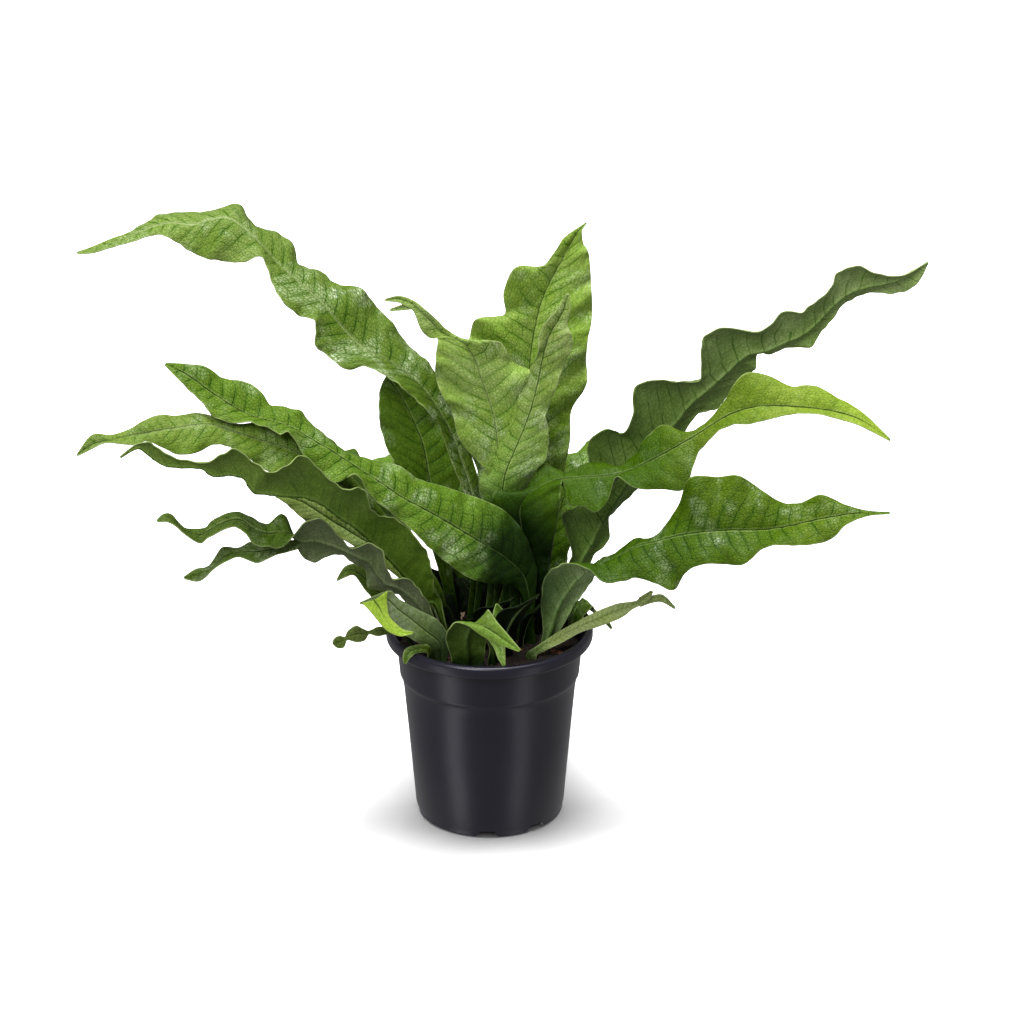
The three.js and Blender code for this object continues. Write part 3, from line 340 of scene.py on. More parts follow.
        (372, 586, -20, 367, 592, -4, 378, 577, 4), (358, 573, -26, 355, 576, -4, 361, 565, 4),
        (347, 571, -30, 346, 577, -3, 346, 566, 3), (337, 580, -33, 337, 580, 0, 337, 580, 0),
    ]),
    "pale_small_left": dict(root=(-32, 18), rungs=[
        (432, 600, 14, 429, 604, -2, 436, 596, 2), (385, 555, -2, 380, 563, -4, 390, 546, 4),
        (350, 532, -14, 344, 540, -6, 357, 522, 6), (330, 520, -22, 322, 530, -8, 338, 510, 6),
        (315, 510, -28, 305, 520, -8, 318, 499, 6), (302, 502, -33, 292, 509, -6, 304, 492, 5),
        (289, 498, -37, 284, 502, -4, 290, 491, 4), (276, 496, -41, 276, 496, 0, 276, 496, 0),
    ]),
    "lime_left": dict(root=(-32, -35), rungs=[
        (440, 643, -38, 430, 649, -2, 448, 636, 2), (425, 630, -43, 414, 640, -5, 437, 620, 4),
        (410, 618, -47, 400, 632, -6, 422, 612, 4), (398, 609, -50, 388, 626, -5, 409, 605, 4),
        (388, 600, -52, 376, 614, -4, 397, 598, 4), (376, 598, -53, 368, 606, -3, 388, 591, 3),
        (360, 603, -55, 360, 603, 0, 360, 603, 0),
    ], branch=[
        (374, 600, -56, 387, 591, 2, 362, 603, -1), (380, 609, -58, 387, 604, 2, 370, 611, -2),
        (386, 619, -60, 389, 616, 2, 379, 622, -2), (393, 627, -62, 396, 624, 2, 388, 631, -2),
        (403, 633, -63, 404, 630, 1, 400, 636, -1), (413, 633, -64, 413, 633, 0, 413, 633, 0),
    ]),
    "beaded_left": dict(root=(-50, -20), rungs=[
        (404, 634, -22, 404, 637, -1, 404, 631, 1), (390, 631, -26, 390, 634, -1, 390, 628, 1),
        (378, 631, -30, 378, 636, -2, 378, 627, 2), (369, 633, -33, 369, 634, -1, 369, 631, 1),
        (364, 634, -35, 365, 640, -2, 363, 629, 2), (357, 634, -37, 358, 642, -3, 356, 626, 3),
        (350, 636, -39, 352, 641, -2, 348, 631, 2), (346, 639, -40, 347, 640, -1, 345, 637, 1),
        (342, 641, -41, 344, 647, -2, 339, 636, 2), (337, 643, -42, 338, 648, -1, 334, 639, 1),
        (333, 644, -43, 333, 644, 0, 333, 644, 0),
    ]),
    "curled_rim_left": dict(root=(-39, -38), rungs=[
        (428, 650, -44, 427, 653, -1, 429, 646, 1), (418, 649, -47, 417, 653, -1, 417, 645, 1),
        (410, 652, -50, 412, 656, -1, 406, 649, 1), (406, 658, -52, 409, 659, 0, 403, 657, 0),
        (405, 664, -53, 405, 664, 0, 405, 664, 0),
    ]),
    "folded_front": dict(root=(-14, -44), rungs=[
        (468, 655, -46, 484, 656, 2, 451, 656, -2), (467, 640, -48, 486, 640, 4, 446, 638, -4),
        (472, 626, -52, 488, 622, 4, 452, 625, -4), (480, 625, -56, 488, 610, 2, 466, 625, -2),
        (492, 631, -60, 497, 622, 0, 481, 635, 0), (505, 640, -64, 508, 635, 0, 499, 644, 0),
        (520, 651, -68, 520, 651, 0, 520, 651, 0),
    ]),
    "drooping_front": dict(root=(3, -38), rungs=[
        (494, 650, -42, 498, 650, 1, 490, 650, -1), (492, 641, -46, 498, 640, 1, 486, 638, -1),
        (499, 648, -52, 504, 645, 1, 494, 648, -1), (502, 657, -56, 505, 656, 1, 498, 658, -1),
        (504, 666, -59, 504, 666, 0, 504, 666, 0),
    ]),
    "small_front": dict(root=(8, -24), rungs=[
        (503, 638, -26, 499, 638, -1, 507, 638, 1), (503, 628, -27, 498, 626, -2, 508, 628, 1),
        (501, 617, -28, 493, 616, -2, 507, 616, 1), (497, 604, -29, 497, 604, 0, 497, 604, 0),
    ]),
    "low_right": dict(root=(28, -30), rungs=[
        (538, 650, -29, 536, 647, 1, 540, 653, -1), (558, 638, -25, 557, 633, 3, 561, 643, -3),
        (578, 627, -20, 577, 622, 4, 581, 632, -4), (599, 618, -17, 596, 612, 3, 603, 625, -3),
        (619, 610, -16, 617, 604, 3, 622, 617, -3), (634, 605, -16, 636, 601, 2, 633, 609, -2),
        (644, 598, -16, 640, 597, 1, 648, 601, -1), (652, 591, -16, 652, 591, 0, 652, 591, 0),
    ], branch=[
        (640, 603, -16, 640, 600, 1, 640, 607, -1), (651, 599, -16, 651, 596, 1, 651, 603, -1),
        (663, 598, -16, 663, 595, 1, 662, 602, -1), (675, 608, -16, 675, 608, 0, 675, 608, 0),
    ]),
    "broad_right": dict(root=(38, -14), rungs=[
        (550, 632, -15, 558, 634, 2, 543, 630, -2), (558, 608, -18, 575, 604, 6, 541, 602, -6),
        (570, 588, -22, 590, 584, 10, 545, 578, -10), (584, 573, -27, 600, 568, 14, 560, 565, -14),
        (600, 565, -32, 602, 559, 16, 585, 567, -16), (618, 557, -37, 616, 556, 18, 606, 583, -14),
        (638, 546, -40, 634, 539, 18, 634, 578, -12), (658, 541, -43, 650, 540, 16, 655, 583, -12),
        (677, 536, -46, 668, 522, 16, 674, 590, -10), (694, 533, -48, 680, 502, 14, 686, 572, -12),
        (711, 531, -50, 690, 478, 12, 704, 564, -12), (732, 530, -52, 718, 477, 12, 724, 564, -12),
        (752, 530, -54, 739, 476, 12, 744, 564, -12), (772, 529, -56, 760, 489, 12, 764, 548, -12),
        (792, 526, -58, 780, 502, 12, 784, 545, -12), (812, 521, -60, 800, 503, 10, 806, 545, -10),
        (832, 517, -62, 822, 495, 9, 829, 540, -9), (852, 514, -64, 845, 505, 6, 848, 524, -6),
        (870, 513, -65, 868, 511, 2, 868, 516, -2), (890, 513, -66, 890, 513, 0, 890, 513, 0),
    ]),
    "lime_right": dict(root=(30, 8), rungs=[
        (530, 620, 5, 526, 620, 1, 534, 620, -1), (529, 590, 1, 518, 588, 3, 541, 588, -3),
        (528, 562, -3, 505, 555, 1, 549, 565, -4), (524, 538, -7, 497, 530, 1, 553, 540, -5),
        (520, 514, -9, 492, 506, 1, 559, 510, -6), (524, 499, -9, 497, 491, 1, 560, 494, -8),
        (537, 490, -8, 518, 496, 4, 561, 484, -8), (552, 482, -6, 531, 484, 7, 563, 482, -6),
        (564, 479, -5, 543, 463, 12, 566, 497, -8), (577, 478, -4, 558, 474, 12, 570, 505, -10),
        (590, 477, -4, 573, 470, 14, 582, 506, -12), (604, 476, -5, 587, 463, 14, 596, 512, -12),
        (617, 474, -6, 603, 463, 14, 607, 501, -12), (630, 471, -7, 617, 468, 12, 616, 478, -10),
        (643, 465, -9, 634, 455, 12, 636, 488, -12), (660, 456, -11, 648, 436, 12, 662, 489, -12),
        (678, 446, -13, 664, 425, 12, 685, 488, -10), (697, 435, -15, 687, 433, 8, 697, 456, -10),
        (714, 424, -17, 707, 422, 6, 712, 437, -8), (730, 415, -19, 722, 404, 6, 731, 425, -8),
        (750, 408, -21, 743, 375, 8, 749, 424, -8), (772, 406, -23, 766, 375, 8, 770, 419, -8),
        (795, 407, -25, 790, 386, 8, 794, 414, -6), (818, 409, -27, 815, 386, 8, 816, 414, -6),
        (840, 413, -29, 838, 398, 6, 838, 419, -5), (862, 421, -31, 863, 413, 4, 860, 426, -4),
        (890, 440, -33, 890, 440, 0, 890, 440, 0),
    ]),
    "long_right": dict(root=(44, 5), rungs=[
        (556, 615, 6, 562, 616, 2, 550, 612, -2), (568, 588, 8, 578, 590, 6, 558, 582, -4),
        (582, 560, 10, 594, 556, 8, 572, 556, -6), (592, 543, 12, 609, 539, 10, 566, 532, -8),
        (601, 526, 14, 609, 518, 12, 564, 514, -8), (613, 506, 16, 622, 504, 10, 584, 500, 0),
        (627, 484, 18, 640, 486, 8, 588, 464, -2), (638, 469, 19, 652, 472, 8, 589, 442, -4),
        (648, 456, 20, 664, 455, 8, 607, 429, -8), (657, 445, 21, 675, 443, 8, 623, 434, -10),
        (666, 434, 21, 685, 430, 8, 633, 414, -12), (678, 420, 22, 700, 413, 10, 634, 390, -12),
        (690, 405, 23, 716, 409, 10, 652, 380, -12), (705, 392, 24, 728, 396, 10, 678, 382, -12),
        (722, 377, 25, 745, 379, 10, 700, 379, -10), (738, 362, 26, 755, 368, 8, 701, 350, -12),
        (750, 354, 27, 758, 353, 6, 706, 335, -12), (765, 351, 28, 771, 354, 4, 728, 328, -12),
        (782, 344, 29, 786, 348, 5, 762, 331, -12), (800, 336, 30, 811, 346, 6, 783, 312, -12),
        (813, 327, 31, 821, 332, 5, 802, 312, -10), (824, 315, 32, 829, 323, 5, 815, 302, -10),
        (836, 303, 33, 842, 306, 5, 830, 289, -10), (850, 293, 34, 852, 299, 6, 838, 273, -10),
        (868, 287, 35, 868, 293, 6, 856, 266, -10), (884, 284, 36, 886, 293, 5, 878, 274, -8),
        (900, 279, 37, 904, 292, 4, 898, 276, -4), (914, 270, 38, 919, 281, 2, 912, 272, -2),
        (928, 262, 38, 928, 262, 0, 928, 262, 0),
    ]),
}
print("fronds with rungs:", len(FRONDS))

# %% [markdown]
# The far side isn't in the reference view. Its fronds are grown by a rule: each climbs from its
# foot, leans over outwards, and its margins wave. back_right and left_rear hang a little lower than
# their solids, because the view shows nothing above the fronds in front of them.

# %% Grown fronds: root in mm, turn in degrees, reach, height of the tip, half width, waves
GROWN = {
    "back_tall": dict(root=(8, 48), turn=94, reach=150, tip=185, half=27, waves=6),
    "back_left": dict(root=(-20, 42), turn=128, reach=120, tip=185, half=24, waves=6),
    "back_right": dict(root=(42, 32), turn=44, reach=118, tip=197, half=21, waves=6),
    "back_low": dict(root=(-2, 55), turn=98, reach=115, tip=105, half=20, waves=6),
    "back_low_right": dict(root=(22, 50), turn=76, reach=105, tip=96, half=19, waves=5),
    "back_short": dict(root=(54, 12), turn=25, reach=36, tip=118, half=10, waves=3),
    "left_rear": dict(root=(-48, 26), turn=150, reach=112, tip=210, half=17, waves=5),
}
GROWN_RUNGS = 15
GROWN_CREST = 0.55      # rise of the arch above a straight line, as a share of the reach
GROWN_LEAN = 1.6        # 1 leans out evenly, more leans out later
GROWN_SWAY = 8          # mm to either side
GROWN_WAVE = 0.14       # in and out, as a share of the half width
GROWN_RUFFLE = 0.2      # up and down, as a share of the half width
GROWN_PHASE = 1.7       # radians between one frond's waves and the next one's

# %% [markdown]
# ## From the view to space
# A pixel stands for a line of sight, and a depth picks one point on it. Empties could be dragged
# about in the camera's view until they fit, but the camera's sum turned round does the same for
# every rung at once. Either kind of frond ends as three rows of points: the midrib, the left margin
# and the right margin.

# %% From a place in the view to millimetres
SOIL_TOP, SOIL_DOME, SOIL_LUMP, SOIL_RIPPLE, RIM_INNER_RADIUS = 122, 3, 0.8, 0.5, 65


def place(px, py, depth):
    """The point in mm whose place in the view is (px, py) and whose Y is the depth."""
    slope = (VIEW_CENTRE - py) / VIEW_FOCAL
    rise = (slope * (VIEW_DISTANCE + depth * COS) - depth * SIN) / (COS + slope * SIN)
    reach = VIEW_DISTANCE + depth * COS - rise * SIN
    return np.stack([VIEW_AIM_X + (px - VIEW_CENTRE) * reach / VIEW_FOCAL, depth, VIEW_AIM_Z + rise], -1)


def soil_height(x, y):
    """Height of the soil: a low dome with soft lumps."""
    outwards = np.hypot(x, y) / RIM_INNER_RADIUS
    lumps = SOIL_LUMP * np.sin(x * 0.19 + 1) * np.cos(y * 0.23) + SOIL_RIPPLE * np.sin((x - y) * 0.31)
    return SOIL_TOP + SOIL_DOME * (1 - outwards ** 2) + lumps


def unit(vectors):
    return vectors / np.linalg.norm(vectors, axis=-1, keepdims=True)


print("middle of the view, over the pot's axis, in mm:", place(VIEW_CENTRE, VIEW_CENTRE, 0).round(1))

# %% Rungs as points: rows for the midrib, the left margin and the right margin
STIPE_DEPTH, STIPE_CLEAR, STIPE_HALF_WIDTH, TIP_HALF_WIDTH = 12, 3, 2.1, 0.8


def rungs_from_view(rows):
    """Midrib, left margin and right margin, in mm, from a list of rungs."""
    px, py, depth, left_x, left_y, left_back, right_x, right_y, right_back = np.array(rows, float).T
    return np.stack([
        place(px, py, depth),
        place(left_x, left_y, depth + left_back),
        place(right_x, right_y, depth + right_back),
    ])


def grown_rungs(root, turn, reach, tip, half, waves, phase):
    """Midrib, left margin and right margin, in mm, of a frond that follows the rule."""
    s = np.arange(1, GROWN_RUNGS + 1) / GROWN_RUNGS
    angle = math.radians(turn)
    out = np.array([math.cos(angle), math.sin(angle), 0])
    across = np.array([math.sin(angle), -math.cos(angle), 0])
    up = np.array([0, 0, 1])
    foot = soil_height(*root)
    height = foot + (tip - foot) * s + GROWN_CREST * reach * 4 * s * (1 - s) * (1.15 - 0.3 * s)
    sway = GROWN_SWAY * np.sin(3 * s + phase)
    mid = np.array([*root, 0]) + np.outer(height, up)
    mid = mid + np.outer(reach * s ** GROWN_LEAN, out) + np.outer(sway, across)
    width = 3 + half * np.abs(np.sin(np.pi * s ** 0.8)) ** 0.8
    margins = []
    for side in (-1, 1):
        wave = np.sin(2 * np.pi * waves * s + side * 1.3 + phase)
        outwards = side * width * (1 - GROWN_WAVE + GROWN_WAVE * wave)
        margins.append(mid + np.outer(outwards, across) + np.outer(width * (0.1 + GROWN_RUFFLE * wave), up))
    return np.stack([mid, *margins])


def blunt_tip(rungs):
    """The same rungs, with a last one that is narrow but not a point."""
    mid, left, right = rungs
    side = unit(right[-2] - left[-2]) * TIP_HALF_WIDTH
    left[-1], right[-1] = mid[-1] - side, mid[-1] + side
    return rungs


def with_stipe(rungs, root, foot):
    """Two rungs before the others: in the stipe's hole, and just above the soil, where it is winged."""
    across = unit((rungs[2][0] - rungs[1][0]) * (1, 1, 0))
    side = np.outer([STIPE_HALF_WIDTH, foot], across)
    heights = soil_height(*root) + np.array([-STIPE_DEPTH, STIPE_CLEAR])
    mid = np.array([[*root, height] for height in heights])
    return np.concatenate([np.stack([mid, mid - side, mid + side]), rungs], axis=1)


# %% [markdown]
# ## From rungs to a blade
# Smooth curves run along the rungs: one for the midrib and one for each margin. The blade is the
# surface between them. On the real frond the waves are in the margin and die out towards the
# midrib, so each curve is split into a smooth part, which moves the whole half, and a waved part,
# which grows with the square of the way out. The blade then swells a little between the midrib and
# the margin. Soft folds run across it beside the side veins. They go to and fro along the line of
# sight, so the outline in the reference view stays as it is.

# %% Curves through the rungs, and the blade between them
ROW_STEP = 1.35         # mm between rows of points along a blade
ACROSS = np.array([0, .02, .05, .09, .15, .21, .27, .33, .4, .47, .54, .61, .68, .74, .8, .86, .91, .955, 1])
ARCH = 0.09             # rise of each half of a blade, as a share of its width
RUFFLE = 0.7            # mm, the fine ruffle of the margins
FOLD = 0.11             # height of the soft folds, as a share of the half width
FOLD_LENGTH = 27        # mm from fold to fold
LOBE_LIFT = 0.6         # how far a lobe comes forwards, for each mm that it stands out
VEIN_SLANT = 0.62       # mm that a side vein runs forwards for each mm that it runs out
EYE = np.array([VIEW_AIM_X, -VIEW_DISTANCE * COS, VIEW_AIM_Z + VIEW_DISTANCE * SIN])


def smooth_curve(points, steps):
    """A Catmull-Rom curve through the points, with as many steps for each span."""
    first, last = 2 * points[0] - points[1], 2 * points[-1] - points[-2]
    guides = np.vstack([first, points, last])
    before, start, end, after = guides[:-3], guides[1:-2], guides[2:-1], guides[3:]
    t = (np.arange(steps) / steps)[:, None, None]
    way_out, way_in = (end - before) / 2, (after - start) / 2
    curve = start + t * way_out + t ** 2 * (3 * (end - start) - 2 * way_out - way_in)
    curve = curve + t ** 3 * (2 * (start - end) + way_out + way_in)
    return np.vstack([curve.transpose(1, 0, 2).reshape(-1, 3), points[-1:]])


def calmed(rows, reach):
    """The rows with everything shorter than about `reach` rows smoothed out."""
    weights = np.hanning(2 * reach + 1)
    padded = np.pad(rows, ((reach, reach), (0, 0)), mode="reflect", reflect_type="odd")
    return np.stack([np.convolve(line, weights / weights.sum(), "valid") for line in padded.T], -1)


def wobble(along, length, rng):
    """A smooth random curve from -1 to 1, whose waves are about `length` mm long."""
    parts = [np.sin(2 * np.pi * along / (length * r) + rng.uniform(0, 6.3)) for r in (0.8, 1.27, 2.1)]
    return sum(parts) / 2


class Blade:
    """Rows of points of one blade, with what the veins and the finish need to know at each."""

    def __init__(self, rungs, rng, vein_gap):
        spans = rungs.shape[1] - 1
        length = np.linalg.norm(np.diff(rungs[0], axis=0), axis=1).sum()
        steps = max(3, round(length / spans / ROW_STEP))
        self.mid, left, right = [smooth_curve(line, steps) for line in rungs]
        moves = np.linalg.norm(np.diff(self.mid, axis=0), axis=1)
        self.along = np.concatenate([[0], np.cumsum(moves)])
        tangent = unit(np.gradient(self.mid, axis=0))
        up = unit(np.cross(right - left, tangent))
        self.halves = []
        for side, margin in ((-1, left), (1, right)):
            self.halves.append(self.half(side, margin, up, steps, rng, vein_gap))

    def half(self, side, margin, up, steps, rng, vein_gap):
        """Points from the midrib to one margin, and the vein net's coordinates there."""
        reach = margin - self.mid
        calm = calmed(reach, min(2 * steps, len(reach) // 3))
        width = np.linalg.norm(reach, axis=1)
        ruffle = RUFFLE * wobble(self.along, 11, rng) * np.clip((width - 3) / 8, 0, 1)
        v = ACROSS[None, :, None]
        points = self.mid[:, None] + calm[:, None] * v + (reach - calm)[:, None] * v ** 1.7
        lift = ARCH * width[:, None] * 4 * ACROSS * (1 - ACROSS) + ruffle[:, None] * ACROSS ** 3
        out = width[:, None] * ACROSS
        along = self.along[:, None] + 0 * out
        sight = unit(self.mid - EYE)[:, None]
        fold = FOLD * width[:, None] * wobble(along - VEIN_SLANT * out, FOLD_LENGTH, rng) * ACROSS ** 1.4
        lobe = LOBE_LIFT * (width - np.linalg.norm(calm, axis=1))[:, None] * ACROSS ** 1.7
        points = points + up[:, None] * lift[..., None] + sight * (fold - lobe)[..., None]
        shiver = 0.07 * np.sin(along / 7.3 + out / 9.1 + side) + 0.04 * np.sin(along / 3.1 - out / 6.3)
        slanted = along - VEIN_SLANT * out * (1 + 0.3 * ACROSS ** 2)
        order = slanted / vein_gap + 0.2 * side + shiver
        return dict(points=points, out=out, edge=width[:, None] - out, order=order, step=out / vein_gap)


# %% [markdown]
# ## The net of veins
# Side veins leave the midrib at a slant, up to a centimetre apart, and cross veins join them like
# the joints of uneven bricks. Between them the blade swells into blisters, which gives the fern
# its crocodile skin. Two numbers tell each point where it is in the net: its order, which is whole
# on a side vein, and its step outwards. The shader draws the thin lines from the same two numbers,
# so the relief here and the lines there fall together.

# %% Blisters between the veins
BLISTER = 0.062         # height of a full blister, as a share of the gap between side veins
BLISTER_SLOPE = 0.42    # where its slope ends, counted from a vein, as a share of that gap
GROOVE = 0.35           # mm, depth of the groove over the midrib
THICKNESS = 0.8         # mm
RIM_BULGE = 0.4         # how far the rim is rounded outwards, as a share of the thickness
KEEL_AT_STIPE, KEEL_AT_TIP = 1.5, 0.3       # mm, height of the midrib under the blade


def to_whole(values):
    """How far each value is from the nearest whole number."""
    return np.abs(values - np.round(values))


def brick_step(order, step):
    """The step outwards, shifted and tilted from band to band so that the cross veins zigzag."""
    band = np.floor(order)
    shift = 0.5 * (band % 2) + 0.23 * np.sin(band * 2.4)
    return step * 1.15 + shift + 0.3 * (order - band) * (2 * (band % 2) - 1)


def blisters(half, vein_gap):
    """Height in mm of the relief over one half."""
    away_from_side = np.clip(to_whole(half["order"]) / BLISTER_SLOPE, 0, 1)
    away_from_cross = np.clip(to_whole(brick_step(half["order"], half["step"])) / BLISTER_SLOPE, 0, 1)
    swell = np.sin(away_from_side * np.pi / 2) ** 0.7 * (0.35 + 0.65 * np.sin(away_from_cross * np.pi / 2))
    inside = np.clip(half["edge"] / 4, 0, 1) * np.clip((half["out"] + half["edge"] - 5) / 6, 0, 1)
    groove = GROOVE * np.exp(-(half["out"] / 0.8) ** 2)
    return BLISTER * vein_gap * swell * inside - groove


# %% The two skins of a blade, and the rim between them
def joined(left, right):
    """The left half from its margin to the midrib, then the right half."""
    return np.concatenate([left[:, ::-1], right[:, 1:]], axis=1)


def squares(grid):
    """The four corners of each square of a grid."""
    corners = np.stack([grid[:-1, :-1], grid[:-1, 1:], grid[1:, 1:], grid[1:, :-1]], axis=2)
    return corners.reshape(-1, 4, *grid.shape[2:])


def skins(blade, vein_gap):
    """Points of the upper skin, the lower skin and the rounded rims, in mm."""
    left, right = blade.halves
    grid = joined(left["points"], right["points"])
    out = joined(left["out"], right["out"])
    normal = unit(np.cross(np.gradient(grid, axis=1), np.gradient(grid, axis=0)))
    grid = grid + normal * joined(blisters(left, vein_gap), blisters(right, vein_gap))[..., None]
    share = (blade.along / blade.along[-1])[:, None]
    keel = (KEEL_AT_STIPE + (KEEL_AT_TIP - KEEL_AT_STIPE) * share) * np.exp(-(out / 1.1) ** 2)
    upper = grid + normal * THICKNESS / 2
    lower = grid - normal * (THICKNESS / 2 + keel)[..., None]
    rims = [grid[:, end] + unit(grid[:, end] - grid[:, inner]) * RIM_BULGE * THICKNESS
            for end, inner in ((0, 1), (-1, -2))]
    return upper, lower, rims


def blade_faces(rows, columns, first):
    """Corner numbers of the faces: upper skin, lower skin, rims and ends."""
    skin = rows * columns
    upper = first + np.arange(skin).reshape(rows, columns)
    lower = upper + skin
    left_rim = first + 2 * skin + np.arange(rows)
    right_rim = left_rim + rows
    a, b, c = (left_rim, right_rim, upper)
    strips = [
        np.stack([c[:-1, 0], c[1:, 0], a[1:], a[:-1]], -1),
        np.stack([a[:-1], a[1:], lower[1:, 0], lower[:-1, 0]], -1),
        np.stack([c[:-1, -1], b[:-1], b[1:], c[1:, -1]], -1),
        np.stack([b[:-1], lower[:-1, -1], lower[1:, -1], b[1:]], -1),
        np.stack([c[0, :-1], lower[0, :-1], lower[0, 1:], c[0, 1:]], -1),
        np.stack([c[-1, :-1], c[-1, 1:], lower[-1, 1:], lower[-1, :-1]], -1),
    ]
    ends = [(lower[0, 0], c[0, 0], a[0]), (c[0, -1], lower[0, -1], b[0]),
            (c[-1, 0], lower[-1, 0], a[-1]), (lower[-1, -1], c[-1, -1], b[-1])]
    return squares(upper), squares(lower)[:, ::-1], np.concatenate(strips), ends


# %% A frond's mesh, with its vein net as UV maps, and its tint and habit as colours
DEEPEN = np.array([0.98, 1, 0.92])          # the leaf itself, under the sheen that the lamps add
# Painted shade: it darkens the foot of each frond and the middle of the crown, red and blue first.
SHADE_POWER = np.array([1.25, 1, 1.4])      # in the shade red and blue go first
PAINTED_FOOT_LIGHT = 0.14                           # how light a frond is at the soil, against its own colour
CROWN_SHADE_MIDDLE = np.array([16, -2, 182])      # mm, where the crown is darkest
CROWN_SHADE_SIZE = np.array([44, 50, 62])         # mm, half lengths of the dark place
FAR_OUT = 99                                # mm, further from the midrib than any rim


class FrondMesh:
    """Gathers one or more blades, then makes one mesh of them."""

    def __init__(self, name, finishes, young_from=0.35, young_over=0.5):
        self.name, self.finishes = name, finishes
        self.young_from, self.young_over = young_from, young_over       # shares of the length
        self.points, self.faces, self.slots, self.net, self.reach = [], [], [], [], []
        self.tint, self.habit = [], []
        self.count = 0

    def add(self, blade, vein_gap, habit, **colours):
        """Takes in one blade: its points, faces, vein net, tint and habit."""
        upper, lower, rims = skins(blade, vein_gap)
        rows, columns = upper.shape[:2]
        self.points += [upper.reshape(-1, 3), lower.reshape(-1, 3), *rims]
        over, under, strips, ends = blade_faces(rows, columns, self.count)
        nets = [np.stack([half["order"], half["step"]], -1) for half in blade.halves]
        sides = [squares(nets[0][:, ::-1]), squares(nets[1])]
        halves = (columns - 1) // 2
        both = np.concatenate([side.reshape(rows - 1, halves, 4, 2) for side in sides], 1).reshape(-1, 4, 2)
        rim_net = np.zeros((4 * len(strips) + 12, 2))
        self.net += [both.reshape(-1, 2), both[:, ::-1].reshape(-1, 2), rim_net]
        self.faces += [*over.tolist(), *under.tolist(), *strips.tolist(), *[list(map(int, e)) for e in ends]]
        self.slots += [0] * len(over) + [1] * len(under) + [2] * (len(strips) + 4)
        self.reach.append(self.reach_of(blade))
        self.tint.append(self.tint_of(blade, **colours))
        self.habit.append(self.habit_of(blade, *habit))
        self.count += 2 * rows * columns + 2 * rows

    def reach_of(self, blade):
        """Mm from the midrib and mm from the margin, for every point."""
        left, right = blade.halves
        grid = np.stack([joined(left[key], right[key]) for key in ("out", "edge")], -1).reshape(-1, 2)
        rim = np.zeros((2 * len(blade.mid), 2))
        rim[:, 0] = FAR_OUT
        return np.concatenate([grid, grid, rim])

    def lateness(self, blade):
        """0 over the older part of each row, and 1 near the tip."""
        return np.clip((blade.along / blade.along[-1] - self.young_from) / self.young_over, 0, 1)[:, None]

    def habit_of(self, blade, shine, pale_rib, vein):
        """How glossy, how pale the midrib, how strong the veins. A young tip is matt."""
        columns = 2 * len(ACROSS) - 1
        gloss = shine * (1 - 0.6 * self.lateness(blade) + np.zeros(columns))
        gloss = np.concatenate([gloss.ravel(), gloss.ravel(), gloss[:, 0], gloss[:, 0]])
        return np.column_stack([gloss, *[np.full(len(gloss), value) for value in (pale_rib, vein, 1)]])

    def tint_of(self, blade, body, tip, under, shaded):
        """The body's colour runs into the tip's. Painted shade darkens the foot and the middle of the crown.
        """
        points = joined(*[half["points"] for half in blade.halves])
        # Painted shade: darker towards the middle of the crown and towards the foot
        from_crown = np.linalg.norm((points - CROWN_SHADE_MIDDLE) / CROWN_SHADE_SIZE, axis=-1)
        from_foot = (blade.along[:, None] - STIPE_DEPTH) / shaded if shaded else 1
        light = np.clip((from_crown - 0.6) / 0.5, 0, 1) * np.clip(from_foot, 0, 1) ** 1.5
        dark = (PAINTED_FOOT_LIGHT + (1 - PAINTED_FOOT_LIGHT) * light)[..., None] ** SHADE_POWER * DEEPEN
        later = self.lateness(blade)[..., None]
        upper = (np.array(body) * (1 - later) + np.array(tip) * later) * dark
        lower = (np.array(under) * (1 - later / 2) + np.array(tip) * later / 2) * dark
        colours = np.concatenate([upper.reshape(-1, 3), lower.reshape(-1, 3), upper[:, 0], upper[:, -1]])
        return np.column_stack([colours, np.ones(len(colours))])

    def build(self):
        """The mesh of all the blades, as an object at the origin."""
        mesh = bpy.data.meshes.new(self.name)
        mesh.from_pydata(np.concatenate(self.points) * MM, [], self.faces)
        mesh.polygons.foreach_set("material_index", self.slots)
        mesh.polygons.foreach_set("use_smooth", [True] * len(self.faces))
        for finish in self.finishes:
            mesh.materials.append(finish)
        self.fill_uv(mesh, "net", np.concatenate(self.net))
        corners = np.zeros(len(mesh.loops), int)
        mesh.loops.foreach_get("vertex_index", corners)
        self.fill_uv(mesh, "reach", np.concatenate(self.reach)[corners])
        for name, values in (("tint", self.tint), ("habit", self.habit)):
            layer = mesh.color_attributes.new(name, "FLOAT_COLOR", "POINT")
            layer.data.foreach_set("color", np.concatenate(values).ravel())
        mesh.validate()
        piece = bpy.data.objects.new(self.name, mesh)
        bpy.context.scene.collection.objects.link(piece)
        return piece

    def fill_uv(self, mesh, name, values):
        mesh.uv_layers.new(name=name).data.foreach_set("uv", values.astype(np.float32).ravel())
